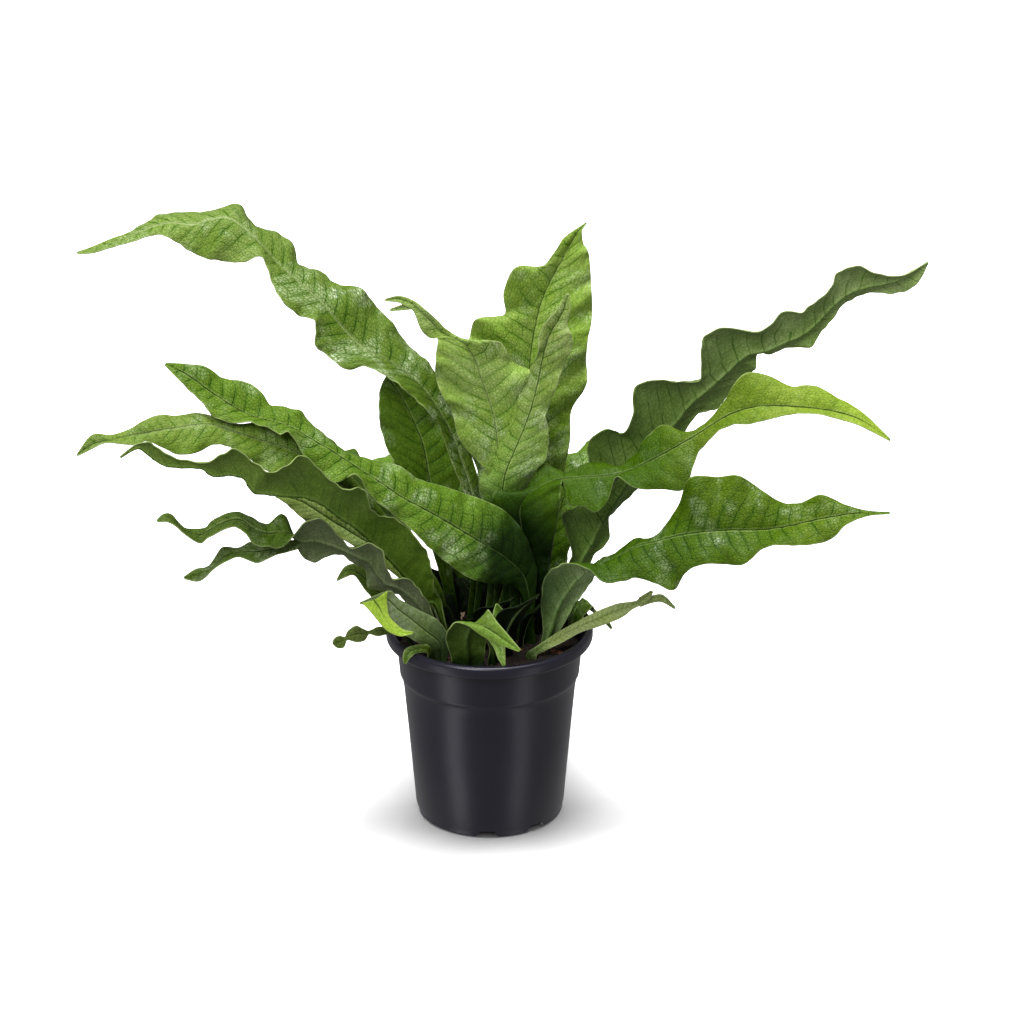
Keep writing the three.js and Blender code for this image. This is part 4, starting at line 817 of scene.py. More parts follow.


# %% [markdown]
# ## The finish of the fronds
# The upper face is leathery and half glossy. Its veins are thin and dark green, with a finer net
# between them. Here and there a patch is waxier: a clear coat lies thicker on it, and the fine cells
# break each glint into small sparks. There pale glints are also painted into the colour, a painted
# highlight, and a painted sheen runs as a pale line beside the midrib. The under face is matt and
# greyer, with the same net, painted shade along the keel and a pale line beside it, partly its own
# colour and partly painted highlight. The rim is a thin pale line, partly the margin's own colour and
# partly painted highlight. All three read the frond's own tint, which carries painted shade, and its
# habit, so one recipe serves a young lime frond as well as an old dark one. Where the tint holds deep
# painted shade, the gloss, the painted glints and the pale lines fade out.

# %% The vein net as a recipe
class FrondFinish(Finish):
    """A finish that knows the vein net of a frond."""

    def __init__(self, name):
        super().__init__(name)
        self.point = self.object_point()
        self.tint = self.add("ShaderNodeVertexColor", {"layer_name": "tint"})
        habit = {0: self.add("ShaderNodeVertexColor", {"layer_name": "habit"})}
        self.shine, self.pale_rib, self.vein = [
            self.add("ShaderNodeSeparateColor", None, habit, channel) for channel in range(3)]
        # lit falls to 0 where the tint carries deep painted shade, and there it fades the gloss and the
        # painted highlights
        self.lit = self.step(self.add("ShaderNodeSeparateColor", None, {0: self.tint}, 1), 0.04, 0.16)
        order, self.outwards = self.two_of("net")
        self.order = order + (self.noise(self.point, 8, 2) - 0.5) * 0.32
        self.out, self.edge = self.two_of("reach")
        self.width = self.out + self.edge
        self.share = self.out / (self.width + 0.01)

    def two_of(self, uv_map):
        """The two numbers of a UV map."""
        pair = {"Vector": self.add("ShaderNodeUVMap", {"uv_map": uv_map})}
        return [self.add("ShaderNodeSeparateXYZ", None, pair, axis) for axis in (0, 1)]

    def line(self, value, width):
        """1 on each whole number of the value, 0 when further from it than the width."""
        away = 0.5 - abs(value % 1 - 0.5)
        return 1 - self.step(away, width * 0.25, width)

    def brick_step(self):
        """The same shift and tilt of each band as in the relief."""
        band = self.order.floor()
        odd = band % 2
        shifted = self.outwards * 1.15 + odd * 0.5 + (band * 2.4).sine() * 0.23
        return shifted + (self.order - band) * (odd * 0.6 - 0.3)

    def veins(self, width, fading):
        """Masks of the side veins, which fade outwards, and of the cross veins. Both come and go."""
        fade = 1 - self.step(self.share, 0.35, 0.95) * fading
        strong = self.step(self.noise(self.point, 13, 2), 0.3, 0.6) * self.vein
        side = self.line(self.order, width) * fade * (strong * 0.65 + self.vein * 0.35)
        inside = self.step(self.out, 0.5, 3) * self.step(self.edge, 0.5, 4)
        cross = self.line(self.brick_step(), 0.06) * inside * (strong * 0.7 + self.vein * 0.3)
        return side, cross

    def blister(self):
        """1 on the top of a blister, 0 near the veins round it."""
        return (1 - self.line(self.order, 0.34)) * (1 - self.line(self.brick_step(), 0.34))

    def cells(self):
        """The finest net: 0 on its lines, 1 inside a cell."""
        place = self.add("ShaderNodeCombineXYZ", None, {0: self.order * 4.3, 1: self.outwards * 4.3})
        cells = {"voronoi_dimensions": "2D", "feature": "DISTANCE_TO_EDGE"}
        gap = self.add("ShaderNodeTexVoronoi", cells, {"Vector": place, "Scale": 1.0, "Randomness": 0.9})
        return self.step(gap, 0.0, 0.22)

    def midrib(self):
        """1 on the midrib, where the blade is broad enough to show one."""
        return (1 - self.step(self.out, 0.2, 0.7)) * self.step(self.width, 3, 8)

    def margin(self):
        """1 along the rim."""
        return 1 - self.step(self.edge, 0.15, 0.6)


# %% Upper face
# Pale colour for a painted sheen beside the midrib, and for the rim, partly its own colour and partly
# painted highlight
PALE_SHEEN_LINE = srgb(150, 168, 104)     # beside the midrib and along the rim


def upper_finish():
    sheet = FrondFinish("frond_upper")
    side, cross = sheet.veins(0.07, 0.8)
    cells = sheet.cells()
    patches = sheet.noise(sheet.point, 26, 3)
    speckle = sheet.noise(sheet.point, 1.5, 4, 0.7)
    leather = sheet.noise(sheet.point, 1.7, 4, 0.72)
    hollow = sheet.line(sheet.order, 0.3) * (1 - sheet.step(sheet.share, 0.3, 1)) * sheet.vein
    fresh = sheet.blend(sheet.step(patches, 0.3, 0.7), sheet.tint, (0.78, 0.86, 0.5), "MULTIPLY")
    pitted = sheet.blend(sheet.step(speckle, 0.35, 0.68), (0.74, 0.8, 0.55), (1.2, 1.16, 1.1))
    flecked = sheet.blend(1.0, fresh, pitted, "MULTIPLY")
    patch = sheet.step(sheet.noise(sheet.point, 20, 2), 0.5, 0.66)
    # Painted highlight: pale glints painted into the colour of the waxy patches, over the coat's real gloss
    sparks = sheet.step(leather * 0.5 + speckle * 0.5, 0.38, 0.56)
    painted_glint = sparks * (sheet.blister() * 0.4 + 0.6) * (cells * 0.5 + 0.5)
    glinted = sheet.blend(patch * sheet.shine * sheet.lit * painted_glint * 0.8, flecked, srgb(206, 218, 184))
    net = (1 - cells) * (sheet.vein * 0.6 + patch * 0.3) + hollow * 0.3
    netted = sheet.blend(net, glinted, (0.42, 0.6, 0.2), "MULTIPLY")
    dark = side.larger(cross * 0.6)
    shaded = sheet.blend(dark * 0.85, netted, (0.33, 0.53, 0.1), "MULTIPLY")
    # Painted sheen: a pale line on each side of the midrib
    shoulder = sheet.step(sheet.out, 0.5, 0.9) * (1 - sheet.step(sheet.out, 1.0, 1.9))
    rib_sheen = shoulder * sheet.lit * 0.3 * sheet.step(sheet.width, 3, 8)
    sheened = sheet.blend(rib_sheen, shaded, PALE_SHEEN_LINE)
    pale = sheet.pale_rib.larger((1 - sheet.lit) * 0.22)
    rib = sheet.blend(pale, srgb(34, 66, 6), srgb(168, 186, 128))
    ribbed = sheet.blend(sheet.midrib() * 0.85, sheened, rib)
    # The pale rim: partly the margin's own colour, partly painted highlight
    rim = sheet.blend(sheet.margin() * sheet.lit * 0.5, ribbed, PALE_SHEEN_LINE)
    relief = leather * 0.4 + cells * 0.55 - dark * 0.9 - sheet.midrib() * 0.6
    grain = sheet.step(leather, 0.36, 0.6) * (cells * 0.8 + 0.2) * (1 - dark) * (1 - sheet.midrib())
    return sheet.finish(
        Base_Color=rim, Roughness=0.42 + leather * 0.1, Normal=sheet.bump(relief, 0.4, 0.85),
        Specular_IOR_Level=0.12, Coat_Weight=(patch * 0.85 + 0.15) * sheet.shine * sheet.lit * grain,
        Coat_Roughness=0.21, Coat_IOR=1.8, Coat_Tint=(0.98, 1, 0.94, 1))


# %% Under face and rim
def under_finish():
    sheet = FrondFinish("frond_under")
    side, cross = sheet.veins(0.09, 0.4)
    cells = sheet.cells()
    grain = sheet.noise(sheet.point, 1.6, 4, 0.65)
    patches = sheet.noise(sheet.point, 22, 3)
    clouded = sheet.blend(sheet.step(patches, 0.3, 0.7), sheet.tint, (0.74, 0.82, 0.58), "MULTIPLY")
    mottled = sheet.blend(sheet.step(grain, 0.35, 0.7), (0.8, 0.85, 0.7), (1.25, 1.22, 1.25))
    soft = sheet.blend(1.0, clouded, mottled, "MULTIPLY")
    net = side.larger(cross * 0.6).larger((1 - cells) * 0.55)
    veined = sheet.blend(net * 0.85, soft, (0.36, 0.5, 0.24), "MULTIPLY")
    # A pale line beside the keel: partly its own colour, partly painted highlight
    beside = sheet.step(sheet.out, 0.5, 0.9) * (1 - sheet.step(sheet.out, 1.0, 1.8))
    edged = sheet.blend(beside * sheet.lit * 0.18, veined, srgb(128, 146, 96))
    # Painted shade along the keel
    keel = sheet.blend((1 - sheet.step(sheet.out, 0.2, 0.6)) * 0.75, edged, (0.42, 0.54, 0.3), "MULTIPLY")
    rim = sheet.blend(sheet.margin() * sheet.lit * 0.5, keel, srgb(140, 156, 98))
    return sheet.finish(
        Base_Color=rim, Roughness=0.5 + grain * 0.15, Normal=sheet.bump(grain * 0.5 - net * 0.6, 0.3, 0.8),
        Specular_IOR_Level=0.15)


def rim_finish():
    sheet = FrondFinish("frond_rim")
    grain = sheet.noise(sheet.point, 2, 3)
    # The pale rim wall: partly the margin's own colour, partly painted highlight, faded in painted shade
    colour = sheet.blend((0.35 + grain * 0.3) * sheet.lit, sheet.tint, srgb(150, 166, 104))
    return sheet.finish(Base_Color=colour, Roughness=0.5 + grain * 0.1, Specular_IOR_Level=0.4)


FROND_FINISHES = [upper_finish(), under_finish(), rim_finish()]

# %% [markdown]
# ## Making the fronds
# Each frond gets its own colours: the body's, the tip's and the under face's. Young fronds are lime,
# and those low in the crown are deep green. A frond's habit says how glossy it is, how pale its
# midrib is and how strong its veins are. The gap between side veins follows the frond's width,
# because a small frond has a finer net. Most fronds share one habit, and short lists name the rest.

# %% Colours of each frond, on a scale of 0 to 255: body, tip, under face
LOOKS = {
    "long_left": ((90, 113, 36), (134, 154, 88), (98, 116, 66)),
    "back_left_upright": ((82, 111, 26), (96, 124, 38), (72, 90, 34)),
    "tall_centre": ((150, 182, 76), (152, 174, 98), (108, 130, 66)),
    "forked_centre": ((148, 173, 98), (156, 175, 114), (120, 136, 86)),
    "folded_centre": ((127, 156, 86), (160, 174, 120), (118, 138, 90)),
    "broad_front_left": ((107, 134, 54), (113, 138, 56), (86, 102, 58)),
    "folded_left": ((96, 122, 36), (126, 146, 76), (100, 126, 42)),
    "pale_left": ((102, 128, 48), (128, 148, 78), (96, 112, 64)),
    "low_forked_left": ((84, 112, 34), (92, 112, 52), (114, 122, 98)),
    "small_dark_left": ((102, 124, 56), (102, 120, 64), (92, 108, 60)),
    # Painted light: lightened past its own colour to make up for the shade that it stands in.
    "pale_small_left": ((188, 204, 138), (188, 204, 138), (178, 194, 134)),
    "lime_left": ((129, 141, 120), (172, 198, 84), (124, 134, 108)),
    "beaded_left": ((90, 103, 56), (100, 111, 66), (84, 95, 72)),
    "curled_rim_left": ((78, 97, 40), (97, 117, 52), (74, 90, 42)),
    "folded_front": ((96, 118, 46), (124, 150, 74), (66, 84, 31)),
    "drooping_front": ((98, 124, 52), (128, 154, 78), (60, 82, 28)),
    # Painted light: lightened past its own colour to make up for the shade of the crown.
    "small_front": ((208, 236, 128), (216, 238, 140), (170, 196, 116)),
    "low_right": ((156, 164, 122), (184, 192, 156), (166, 172, 140)),
    # Painted light: the under face is lightened past its own colour, because it faces away from the lamps.
    "broad_right": ((64, 91, 4), (94, 117, 26), (160, 176, 138)),
    "lime_right": ((64, 92, 4), (156, 176, 74), (58, 82, 14)),
    "long_right": ((74, 102, 31), (180, 196, 144), (103, 125, 64)),
    "back_tall": ((104, 134, 48), (118, 146, 66), (88, 112, 52)),
    "back_left": ((106, 140, 50), (120, 150, 64), (88, 114, 54)),
    "back_right": ((124, 160, 58), (140, 172, 76), (106, 134, 60)),
    "back_low": ((88, 120, 38), (98, 126, 48), (72, 94, 38)),
    "back_low_right": ((92, 122, 40), (102, 130, 52), (72, 94, 38)),
    "back_short": ((118, 146, 60), (134, 160, 76), (92, 112, 54)),
    "left_rear": ((78, 106, 34), (92, 118, 48), (66, 86, 36)),
}
print("colours for", len(LOOKS), "fronds")

# %% Habits, for the fronds that differ from the rest
SHINE, VEIN_STRENGTH = 0.85, 0.85       # of most fronds
OWN_SHINE = {
    "back_left_upright": 0.6, "pale_left": 0.6, "low_forked_left": 0.4, "lime_left": 0.1,
    "beaded_left": 0.3, "curled_rim_left": 0.3, "folded_front": 0.4, "drooping_front": 0.4,
    "low_right": 0.3, "broad_right": 0.5, "lime_right": 0.12,
}
OWN_VEINS = {
    "long_left": 1.1, "broad_front_left": 1.15, "lime_left": 0.5, "folded_front": 0.6,
    "drooping_front": 0.6, "broad_right": 1, "lime_right": 0.35, "long_right": 1.3,
}
PALE_RIB = {"long_left": 0.9, "pale_left": 0.5, "forked_centre": 0.45}
# Where the young part starts, and over what share of the length it comes.
YOUNG_PART = {"lime_right": (0.56, 0.4), "long_right": (0.46, 0.35), "lime_left": (0.94, 0.3)}
# Painted shade at the foot: mm of each frond that it darkens, and shorter lengths for a few.
PAINTED_SHADE_LENGTH = 40            # mm of each frond, from the soil up, that stay dark
SHORT_PAINTED_SHADE = {
    "pale_small_left": 12, "curled_rim_left": 14, "folded_front": 14, "drooping_front": 14,
    "small_front": 4, "low_right": 20, "broad_right": 20,
}
FOOT_HALF_WIDTH = 4           # mm, the winged stipe just above the soil
BROAD_FEET = {
    "folded_front": 10, "folded_left": 9, "long_right": 7, "folded_centre": 6, "low_forked_left": 6,
}
VEIN_GAP_SHARE, VEIN_GAP_LEAST, VEIN_GAP_MOST = 0.42, 3.5, 9.5      # of the half width, and mm
BRANCH_GAP = 0.6              # a branch's vein gap, as a share of its frond's
VIEW_SEED, GROWN_SEED = 100, 150


# %% One piece for each frond
def vein_gap_of(rungs):
    """Mm between side veins, from the widest half of the blade."""
    widest = np.linalg.norm(rungs[1:] - rungs[0], axis=-1).max()
    return float(np.clip(VEIN_GAP_SHARE * widest, VEIN_GAP_LEAST, VEIN_GAP_MOST))


def make_frond(name, rungs, root, branches, seed):
    """The fine frond that stands for a plain one, with its branches."""
    rng = np.random.default_rng(seed)
    body, tip, under = [srgb(*colour) for colour in LOOKS[name]]
    shine, veins = OWN_SHINE.get(name, SHINE), OWN_VEINS.get(name, VEIN_STRENGTH)
    habit = (shine, PALE_RIB.get(name, 0), veins)
    shaded = SHORT_PAINTED_SHADE.get(name, PAINTED_SHADE_LENGTH)
    colours = dict(body=body, tip=tip, under=under, shaded=shaded, habit=habit)
    gap = vein_gap_of(rungs)
    foot = BROAD_FEET.get(name, FOOT_HALF_WIDTH)
    gathered = FrondMesh(f"{name}_blade", FROND_FINISHES, *YOUNG_PART.get(name, ()))
    gathered.add(Blade(with_stipe(blunt_tip(rungs), root, foot), rng, gap), gap, **colours)
    colours.update(body=tip, under=tip, shaded=0)
    gap *= BRANCH_GAP
    for branch in branches:
        gathered.add(Blade(blunt_tip(rungs_from_view(branch)), rng, gap), gap, **colours)
    piece = gathered.build()
    node = f"frond_{name}"
    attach(piece, "root")
    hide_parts(node)
    return piece


blades = []
for number, (name, frond) in enumerate(FRONDS.items()):
    branches = [frond["branch"]] if "branch" in frond else []
    rungs = rungs_from_view(frond["rungs"])
    blades.append(make_frond(name, rungs, frond["root"], branches, VIEW_SEED + number))
for number, (name, frond) in enumerate(GROWN.items()):
    rungs = grown_rungs(**frond, phase=number * GROWN_PHASE)
    blades.append(make_frond(name, rungs, frond["root"], [], GROWN_SEED + number))
print("fronds:", len(blades), "faces:", sum(len(piece.data.polygons) for piece in blades))

# %% [markdown]
# ## Geometry Nodes in a few lines
# Notches, crumbs and chips repeat, so Geometry Nodes place them. A tree needs sockets for its
# sizes, and its result has to become a plain mesh before it joins the plant. Two helpers do that:
# one tree class with the same `add` as the shaders, and one function that runs a tree on a mesh and
# keeps what comes out.

# %% Trees of geometry
class Plan(Sheet):
    """A geometry tree with named inputs."""

    def __init__(self, name):
        super().__init__(bpy.data.node_groups.new(name, "GeometryNodeTree"))
        face = self.tree.interface
        face.new_socket("Geometry", in_out="INPUT", socket_type="NodeSocketGeometry")
        face.new_socket("Geometry", in_out="OUTPUT", socket_type="NodeSocketGeometry")
        self.entry = None
        self.defaults = {}

    def size(self, name, kind, value):
        """A named input of the tree, and its value for this plant."""
        socket = self.tree.interface.new_socket(name, in_out="INPUT", socket_type=f"NodeSocket{kind}")
        self.defaults[socket.identifier] = value
        return name

    def given(self, name):
        """The socket that brings in the named input."""
        if self.entry is None:
            self.entry = self.tree.nodes.new("NodeGroupInput")
        return Wire(self, self.entry.outputs[name])

    def end(self, geometry, material):
        """Turns copies into real faces and paints them, because the export drops copies."""
        whole = self.add("GeometryNodeRealizeInstances", None, {"Geometry": geometry})
        painted = self.add("GeometryNodeSetMaterial", None, {"Geometry": whole, "Material": material})
        self.add("NodeGroupOutput", None, {0: painted})


# %% Running a tree
def grow(name, start, plan):
    """Runs a plan on a mesh and returns the result as a plain object at the origin."""
    seed = bpy.data.objects.new(name + "_start", start)
    bpy.context.scene.collection.objects.link(seed)
    modifier = seed.modifiers.new("plan", "NODES")
    modifier.node_group = plan.tree
    for identifier, value in plan.defaults.items():
        modifier[identifier] = value
    evaluated = seed.evaluated_get(bpy.context.evaluated_depsgraph_get())
    mesh = bpy.data.meshes.new_from_object(evaluated)
    seed.modifiers.clear()
    bpy.data.objects.remove(seed)
    piece = bpy.data.objects.new(name, mesh)
    bpy.context.scene.collection.objects.link(piece)
    print(name, "faces:", len(mesh.polygons))
    return piece


# %% [markdown]
# ## The pot
# A nursery pot is injection moulded: a tapering body, a shoulder that steps out to a collar, and a
# fat rolled rim. A profile turned about the axis gives all of it, with arcs where the plastic is
# rounded. The plain solid has flat sides, so this finer pot stands for it. The drain notches in its
# base come in pairs, and a tree of nodes lays them out in a ring for one Boolean cut.

# %% Sizes of the pot, in mm
RIM_RADIUS, POT_HEIGHT, BEAD_HEIGHT, BASE_RADIUS = 70, 136.5, 9, 50
BODY_TOP_RADIUS, COLLAR_FOOT_RADIUS, COLLAR_TOP_RADIUS = 58.7, 61, 63.2
SHOULDER_Z, SHOULDER_HEIGHT, WALL, FLOOR = 98, 5.5, 1.8, 2.2
POT_SIDES = 288


def arc(radius, height, size, start, stop, steps=8):
    """Points of a rounded corner, around a centre at a radius and height."""
    angles = np.radians(np.linspace(start, stop, steps))
    return [(radius + size * math.cos(a), height + size * math.sin(a)) for a in angles]


def body_radius(z):
    """Radius of the body, which widens evenly from the base to the shoulder."""
    return BASE_RADIUS + (BODY_TOP_RADIUS - BASE_RADIUS) * z / SHOULDER_Z


def pot_profile():
    """Radius and height, from the middle of the base up the outside and down the inside."""
    bead_foot, shoulder_top = POT_HEIGHT - BEAD_HEIGHT, SHOULDER_Z + SHOULDER_HEIGHT
    outside = [
        (0, 0), (BASE_RADIUS - 4, 0), *arc(BASE_RADIUS - 2, 2, 2, -90, -6),
        (body_radius(6), 6), (body_radius(6.6) + 0.25, 6.6), (body_radius(60), 60),
        (BODY_TOP_RADIUS - 0.4, SHOULDER_Z - 5), (BODY_TOP_RADIUS + 0.5, SHOULDER_Z + 0.5),
        (BODY_TOP_RADIUS + 1.2, SHOULDER_Z + 3.4), (COLLAR_FOOT_RADIUS - 0.5, shoulder_top - 0.8),
        (COLLAR_FOOT_RADIUS, shoulder_top - 0.1), (COLLAR_FOOT_RADIUS + 0.1, shoulder_top + 1.6),
        (COLLAR_TOP_RADIUS - 0.1, bead_foot - 0.9), (COLLAR_TOP_RADIUS + 0.7, bead_foot - 0.1),
        *arc(RIM_RADIUS - 2.6, bead_foot + 2.6, 2.6, -88, -2),
        *arc(RIM_RADIUS - 2.4, POT_HEIGHT - 2.4, 2.4, 2, 88),
    ]
    inside = [
        *arc(RIM_RADIUS - 3.4, POT_HEIGHT - 1.7, 1.7, 92, 175, 6),
        (RIM_RADIUS - 5.6, POT_HEIGHT - 5), (COLLAR_TOP_RADIUS - WALL, bead_foot - 2),
        (COLLAR_FOOT_RADIUS - WALL, shoulder_top), (BODY_TOP_RADIUS - WALL, SHOULDER_Z),
        (BASE_RADIUS - WALL + 0.2, FLOOR + 0.8), (BASE_RADIUS - WALL - 0.6, FLOOR), (0, FLOOR),
    ]
    return np.array(outside + inside)


# %% Turning the profile
LATHE_AXIS = 1e-6             # m, the circle that the profile is swept round


def profile_mesh():
    """The profile as a chain of edges in the XY plane: radius along X, height down Y."""
    radius, height = pot_profile().T
    points = np.column_stack([radius, -height, 0 * radius])
    mesh = bpy.data.meshes.new("pot_profile")
    mesh.from_pydata(points * MM, [(i, i + 1) for i in range(len(points) - 1)], [])
    return mesh


def turned_pot(material):
    """Sweeps the profile round a circle so small that it is the axis, then closes both poles."""
    plan = Plan("pot lathe")
    plan.size("Sides", "Int", POT_SIDES)
    plan.size("Seam", "Float", 0.02 * MM)
    chain = plan.add("GeometryNodeMeshToCurve", None, {0: plan.given("Geometry")})
    circle = {"Resolution": plan.given("Sides"), "Radius": LATHE_AXIS}
    axis = plan.add("GeometryNodeCurvePrimitiveCircle", None, circle)
    swept = plan.add("GeometryNodeCurveToMesh", None, {"Curve": axis, "Profile Curve": chain})
    near = {"Geometry": swept, "Distance": plan.given("Seam")}
    closed = plan.add("GeometryNodeMergeByDistance", None, near)
    plan.end(closed, material)
    return grow("pot_moulded", profile_mesh(), plan)


# %% The ring of drain notches
DRAIN_PAIRS, DRAIN_SPREAD, DRAIN_TURN = 3, 41, -71.5        # degrees between two of a pair, and of the first
DRAIN_FOOT_WIDTH, DRAIN_TOP_WIDTH, DRAIN_HEIGHT, DRAIN_REACH = 17, 10, 5, 12        # mm
DRAIN_OVERHANG, DRAIN_UNDER = 4, 2                          # mm past the wall and below the base


def notch_mesh():
    """One notch: a bar with sloped sides that lies along X and reaches in under the base."""
    foot, top, low = DRAIN_FOOT_WIDTH / 2, DRAIN_TOP_WIDTH / 2, -DRAIN_UNDER
    outline = [(-foot, low), (foot, low), (foot, 0), (top, DRAIN_HEIGHT), (-top, DRAIN_HEIGHT), (-foot, 0)]
    near, far = BASE_RADIUS - DRAIN_REACH, BASE_RADIUS + DRAIN_OVERHANG
    points = [(x, y, z) for x in (near, far) for y, z in outline]
    count = len(outline)
    faces = [[(i + 1) % count, (i + 1) % count + count, i + count, i] for i in range(count)]
    faces += [list(range(count - 1, -1, -1)), list(range(count, 2 * count))]
    mesh = bpy.data.meshes.new("notch")
    mesh.from_pydata(np.array(points) * MM, [], faces)
    return mesh


def notch_ring(material):
    """Copies the notch: two to a pair, and the pairs evenly round the pot's axis."""
    plan = Plan("drain notches")
    plan.size("Pairs", "Int", DRAIN_PAIRS)
    plan.size("Spread", "Float", math.radians(DRAIN_SPREAD))
    plan.size("Turn", "Float", math.radians(DRAIN_TURN))
    number = plan.add("GeometryNodeInputIndex")
    pair = (number / 2).floor()
    side = number - pair * 2 - 0.5
    angle = plan.given("Turn") + pair * (2 * math.pi) / plan.given("Pairs") + side * plan.given("Spread")
    places = plan.add("GeometryNodePoints", None, {"Count": plan.given("Pairs") * 2})
    turn = plan.add("ShaderNodeCombineXYZ", None, {"Z": angle})
    shape = {"Points": places, "Instance": plan.given("Geometry"), "Rotation": turn}
    ring = plan.add("GeometryNodeInstanceOnPoints", None, shape)
    plan.end(ring, material)
    return grow("notch_ring", notch_mesh(), plan)


# %% [markdown]
# ## Plastic, peat and bark
# The plastic is blue-black and satin. Handling leaves fine scuffs and a little dust on it, so its
# colour and roughness vary. Peat is nearly black when damp, and each crumb is a little lighter or
# redder than the next, from a number stored on it.

# %% Finishes of the pot and of what is in it
def pot_finish():
    sheet = Finish("pot_plastic")
    point = sheet.object_point()
    cloud = sheet.noise(point, 34, 3)
    grain = sheet.noise(point, 0.7, 2)
    scuffs = sheet.step(sheet.noise(point, 3, 5, 0.7), 0.62, 0.8)
    dust = sheet.step(sheet.noise(point, 1.1, 2), 0.72, 0.8) * sheet.step(cloud, 0.4, 0.7)
    deep = sheet.blend(cloud, srgb(17, 15, 27), srgb(25, 23, 36))
    worn = sheet.blend(scuffs * 0.12 + dust * 0.3, deep, srgb(78, 76, 84))
    roughness = 0.3 + cloud * 0.06 + scuffs * 0.04 + dust * 0.2
    return sheet.finish(
        Base_Color=worn, Roughness=roughness, Specular_IOR_Level=0.42, Specular_Tint=(0.95, 0.94, 1, 1),
        Normal=sheet.bump(grain, 0.03))


def peat_finish():
    sheet = Finish("peat")
    point = sheet.object_point()
    own = sheet.add("ShaderNodeAttribute", {"attribute_name": "own"}, None, "Fac")
    grain = sheet.noise(point, 1.1, 5, 0.65)
    fibre = sheet.noise(point, 5, 3)
    dark = sheet.blend(grain, srgb(8, 6, 5), srgb(38, 29, 22))
    warm = sheet.blend(own * fibre * 0.7, dark, srgb(66, 46, 33))
    return sheet.finish(
        Base_Color=warm, Roughness=0.86 + grain * 0.12, Normal=sheet.bump(grain, 0.5, 0.9),
        Specular_IOR_Level=0.3)


def bark_finish():
    sheet = Finish("bark")
    point = sheet.object_point()
    own = sheet.add("ShaderNodeAttribute", {"attribute_name": "own"}, None, "Fac")
    stretched = sheet.add("ShaderNodeMapping", None, {"Vector": point, "Scale": (0.4, 1, 1)})
    grain = sheet.noise(stretched, 0.8, 4, 0.6)
    hues = [(0.0, srgb(70, 40, 28)), (0.55, srgb(122, 66, 42)), (0.8, srgb(150, 112, 82)),
            (1.0, srgb(186, 160, 128))]
    colour = sheet.add("ShaderNodeValToRGB", {"stops": hues}, {"Fac": own})
    streaked = sheet.blend(grain * 0.7, colour, (0.35, 0.3, 0.28), "MULTIPLY")
    return sheet.finish(Base_Color=streaked, Roughness=0.8, Normal=sheet.bump(grain, 0.3, 0.8))


POT_FINISH, PEAT_FINISH, BARK_FINISH = pot_finish(), peat_finish(), bark_finish()

# %% Cutting the notches and finishing the pot
def cut(piece, cutter):
    """Takes the cutter out of the piece for good."""
    modifier = piece.modifiers.new("cut", "BOOLEAN")
    modifier.operation = "DIFFERENCE"
    modifier.solver = "EXACT"
    modifier.object = cutter
    result = bpy.data.meshes.new_from_object(piece.evaluated_get(bpy.context.evaluated_depsgraph_get()))
    piece.modifiers.clear()
    piece.data = result
    bpy.data.objects.remove(cutter)


def smooth_but_sharp(mesh, degrees):
    """Smooth shading, except over edges sharper than the angle."""
    mesh.polygons.foreach_set("use_smooth", [True] * len(mesh.polygons))
    mesh.set_sharp_from_angle(angle=math.radians(degrees))


pot = turned_pot(POT_FINISH)
cut(pot, notch_ring(POT_FINISH))
smooth_but_sharp(pot.data, 35)
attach(pot, "root")
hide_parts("pot")
print("pot faces:", len(pot.data.polygons))

# %% [markdown]
# ## The soil
# The solid soil stays and gets the peat finish. On its top lies a rough crust, made by pushing a
# fine disc up and down with two sizes of noise. Crumbs of peat and chips of bark are scattered over
# it: a tree of nodes spreads points, puts a small lump on each, and turns and sizes it at random
# from a fixed seed.

# %% The crust
CRUST_RADIUS, CRUST_LIFT, CRUST_DIP, CRUST_DEPTH = 59.6, 1.1, 0.4, 4        # mm
CRUST_RINGS, CRUST_SPOKES = 44, 150


def crust_mesh():
    """A closed disc with a rough top, which lies on the solid soil and dips into it at its edge."""
    radii = CRUST_RADIUS * (np.arange(1, CRUST_RINGS + 1) / CRUST_RINGS)
    angles = 2 * np.pi * np.arange(CRUST_SPOKES + 1) / CRUST_SPOKES
    x, y = np.outer(radii, np.cos(angles)), np.outer(radii, np.sin(angles))
    rough = 0.5 * np.sin(x * 1.3 + 2 * np.sin(y * 0.7)) * np.sin(y * 1.1 + 1.5 * np.sin(x * 0.9))
    rough += 0.35 * np.sin(x * 2.7 - y * 1.9) * np.sin(y * 2.3 + x * 1.2)
    z = soil_height(x, y) + CRUST_LIFT + rough
    z[-1] = soil_height(x[-1], y[-1]) - CRUST_DIP
    grid = np.stack([x, y, z], -1)
    grid[:, -1] = grid[:, 0]
    numbers = np.arange(CRUST_RINGS * CRUST_SPOKES).reshape(CRUST_RINGS, CRUST_SPOKES)
    closed = np.concatenate([numbers, numbers[:, :1]], axis=1)
    points = grid[:, :-1].reshape(-1, 3)
    middle = len(points)
    faces = squares(closed)[:, ::-1].tolist()
    faces += [[middle, a, b] for a, b in zip(closed[0, :-1].tolist(), closed[0, 1:].tolist())]
    faces += [[middle + 1, b, a] for a, b in zip(closed[-1, :-1].tolist(), closed[-1, 1:].tolist())]
    poles = [[0, 0, soil_height(0, 0) + CRUST_LIFT], [0, 0, SOIL_TOP - CRUST_DEPTH]]
    mesh = bpy.data.meshes.new("soil_crust")
    mesh.from_pydata(np.vstack([points, poles]) * MM, [], faces)
    mesh.polygons.foreach_set("use_smooth", [True] * len(faces))
    mesh.materials.append(PEAT_FINISH)
    return mesh


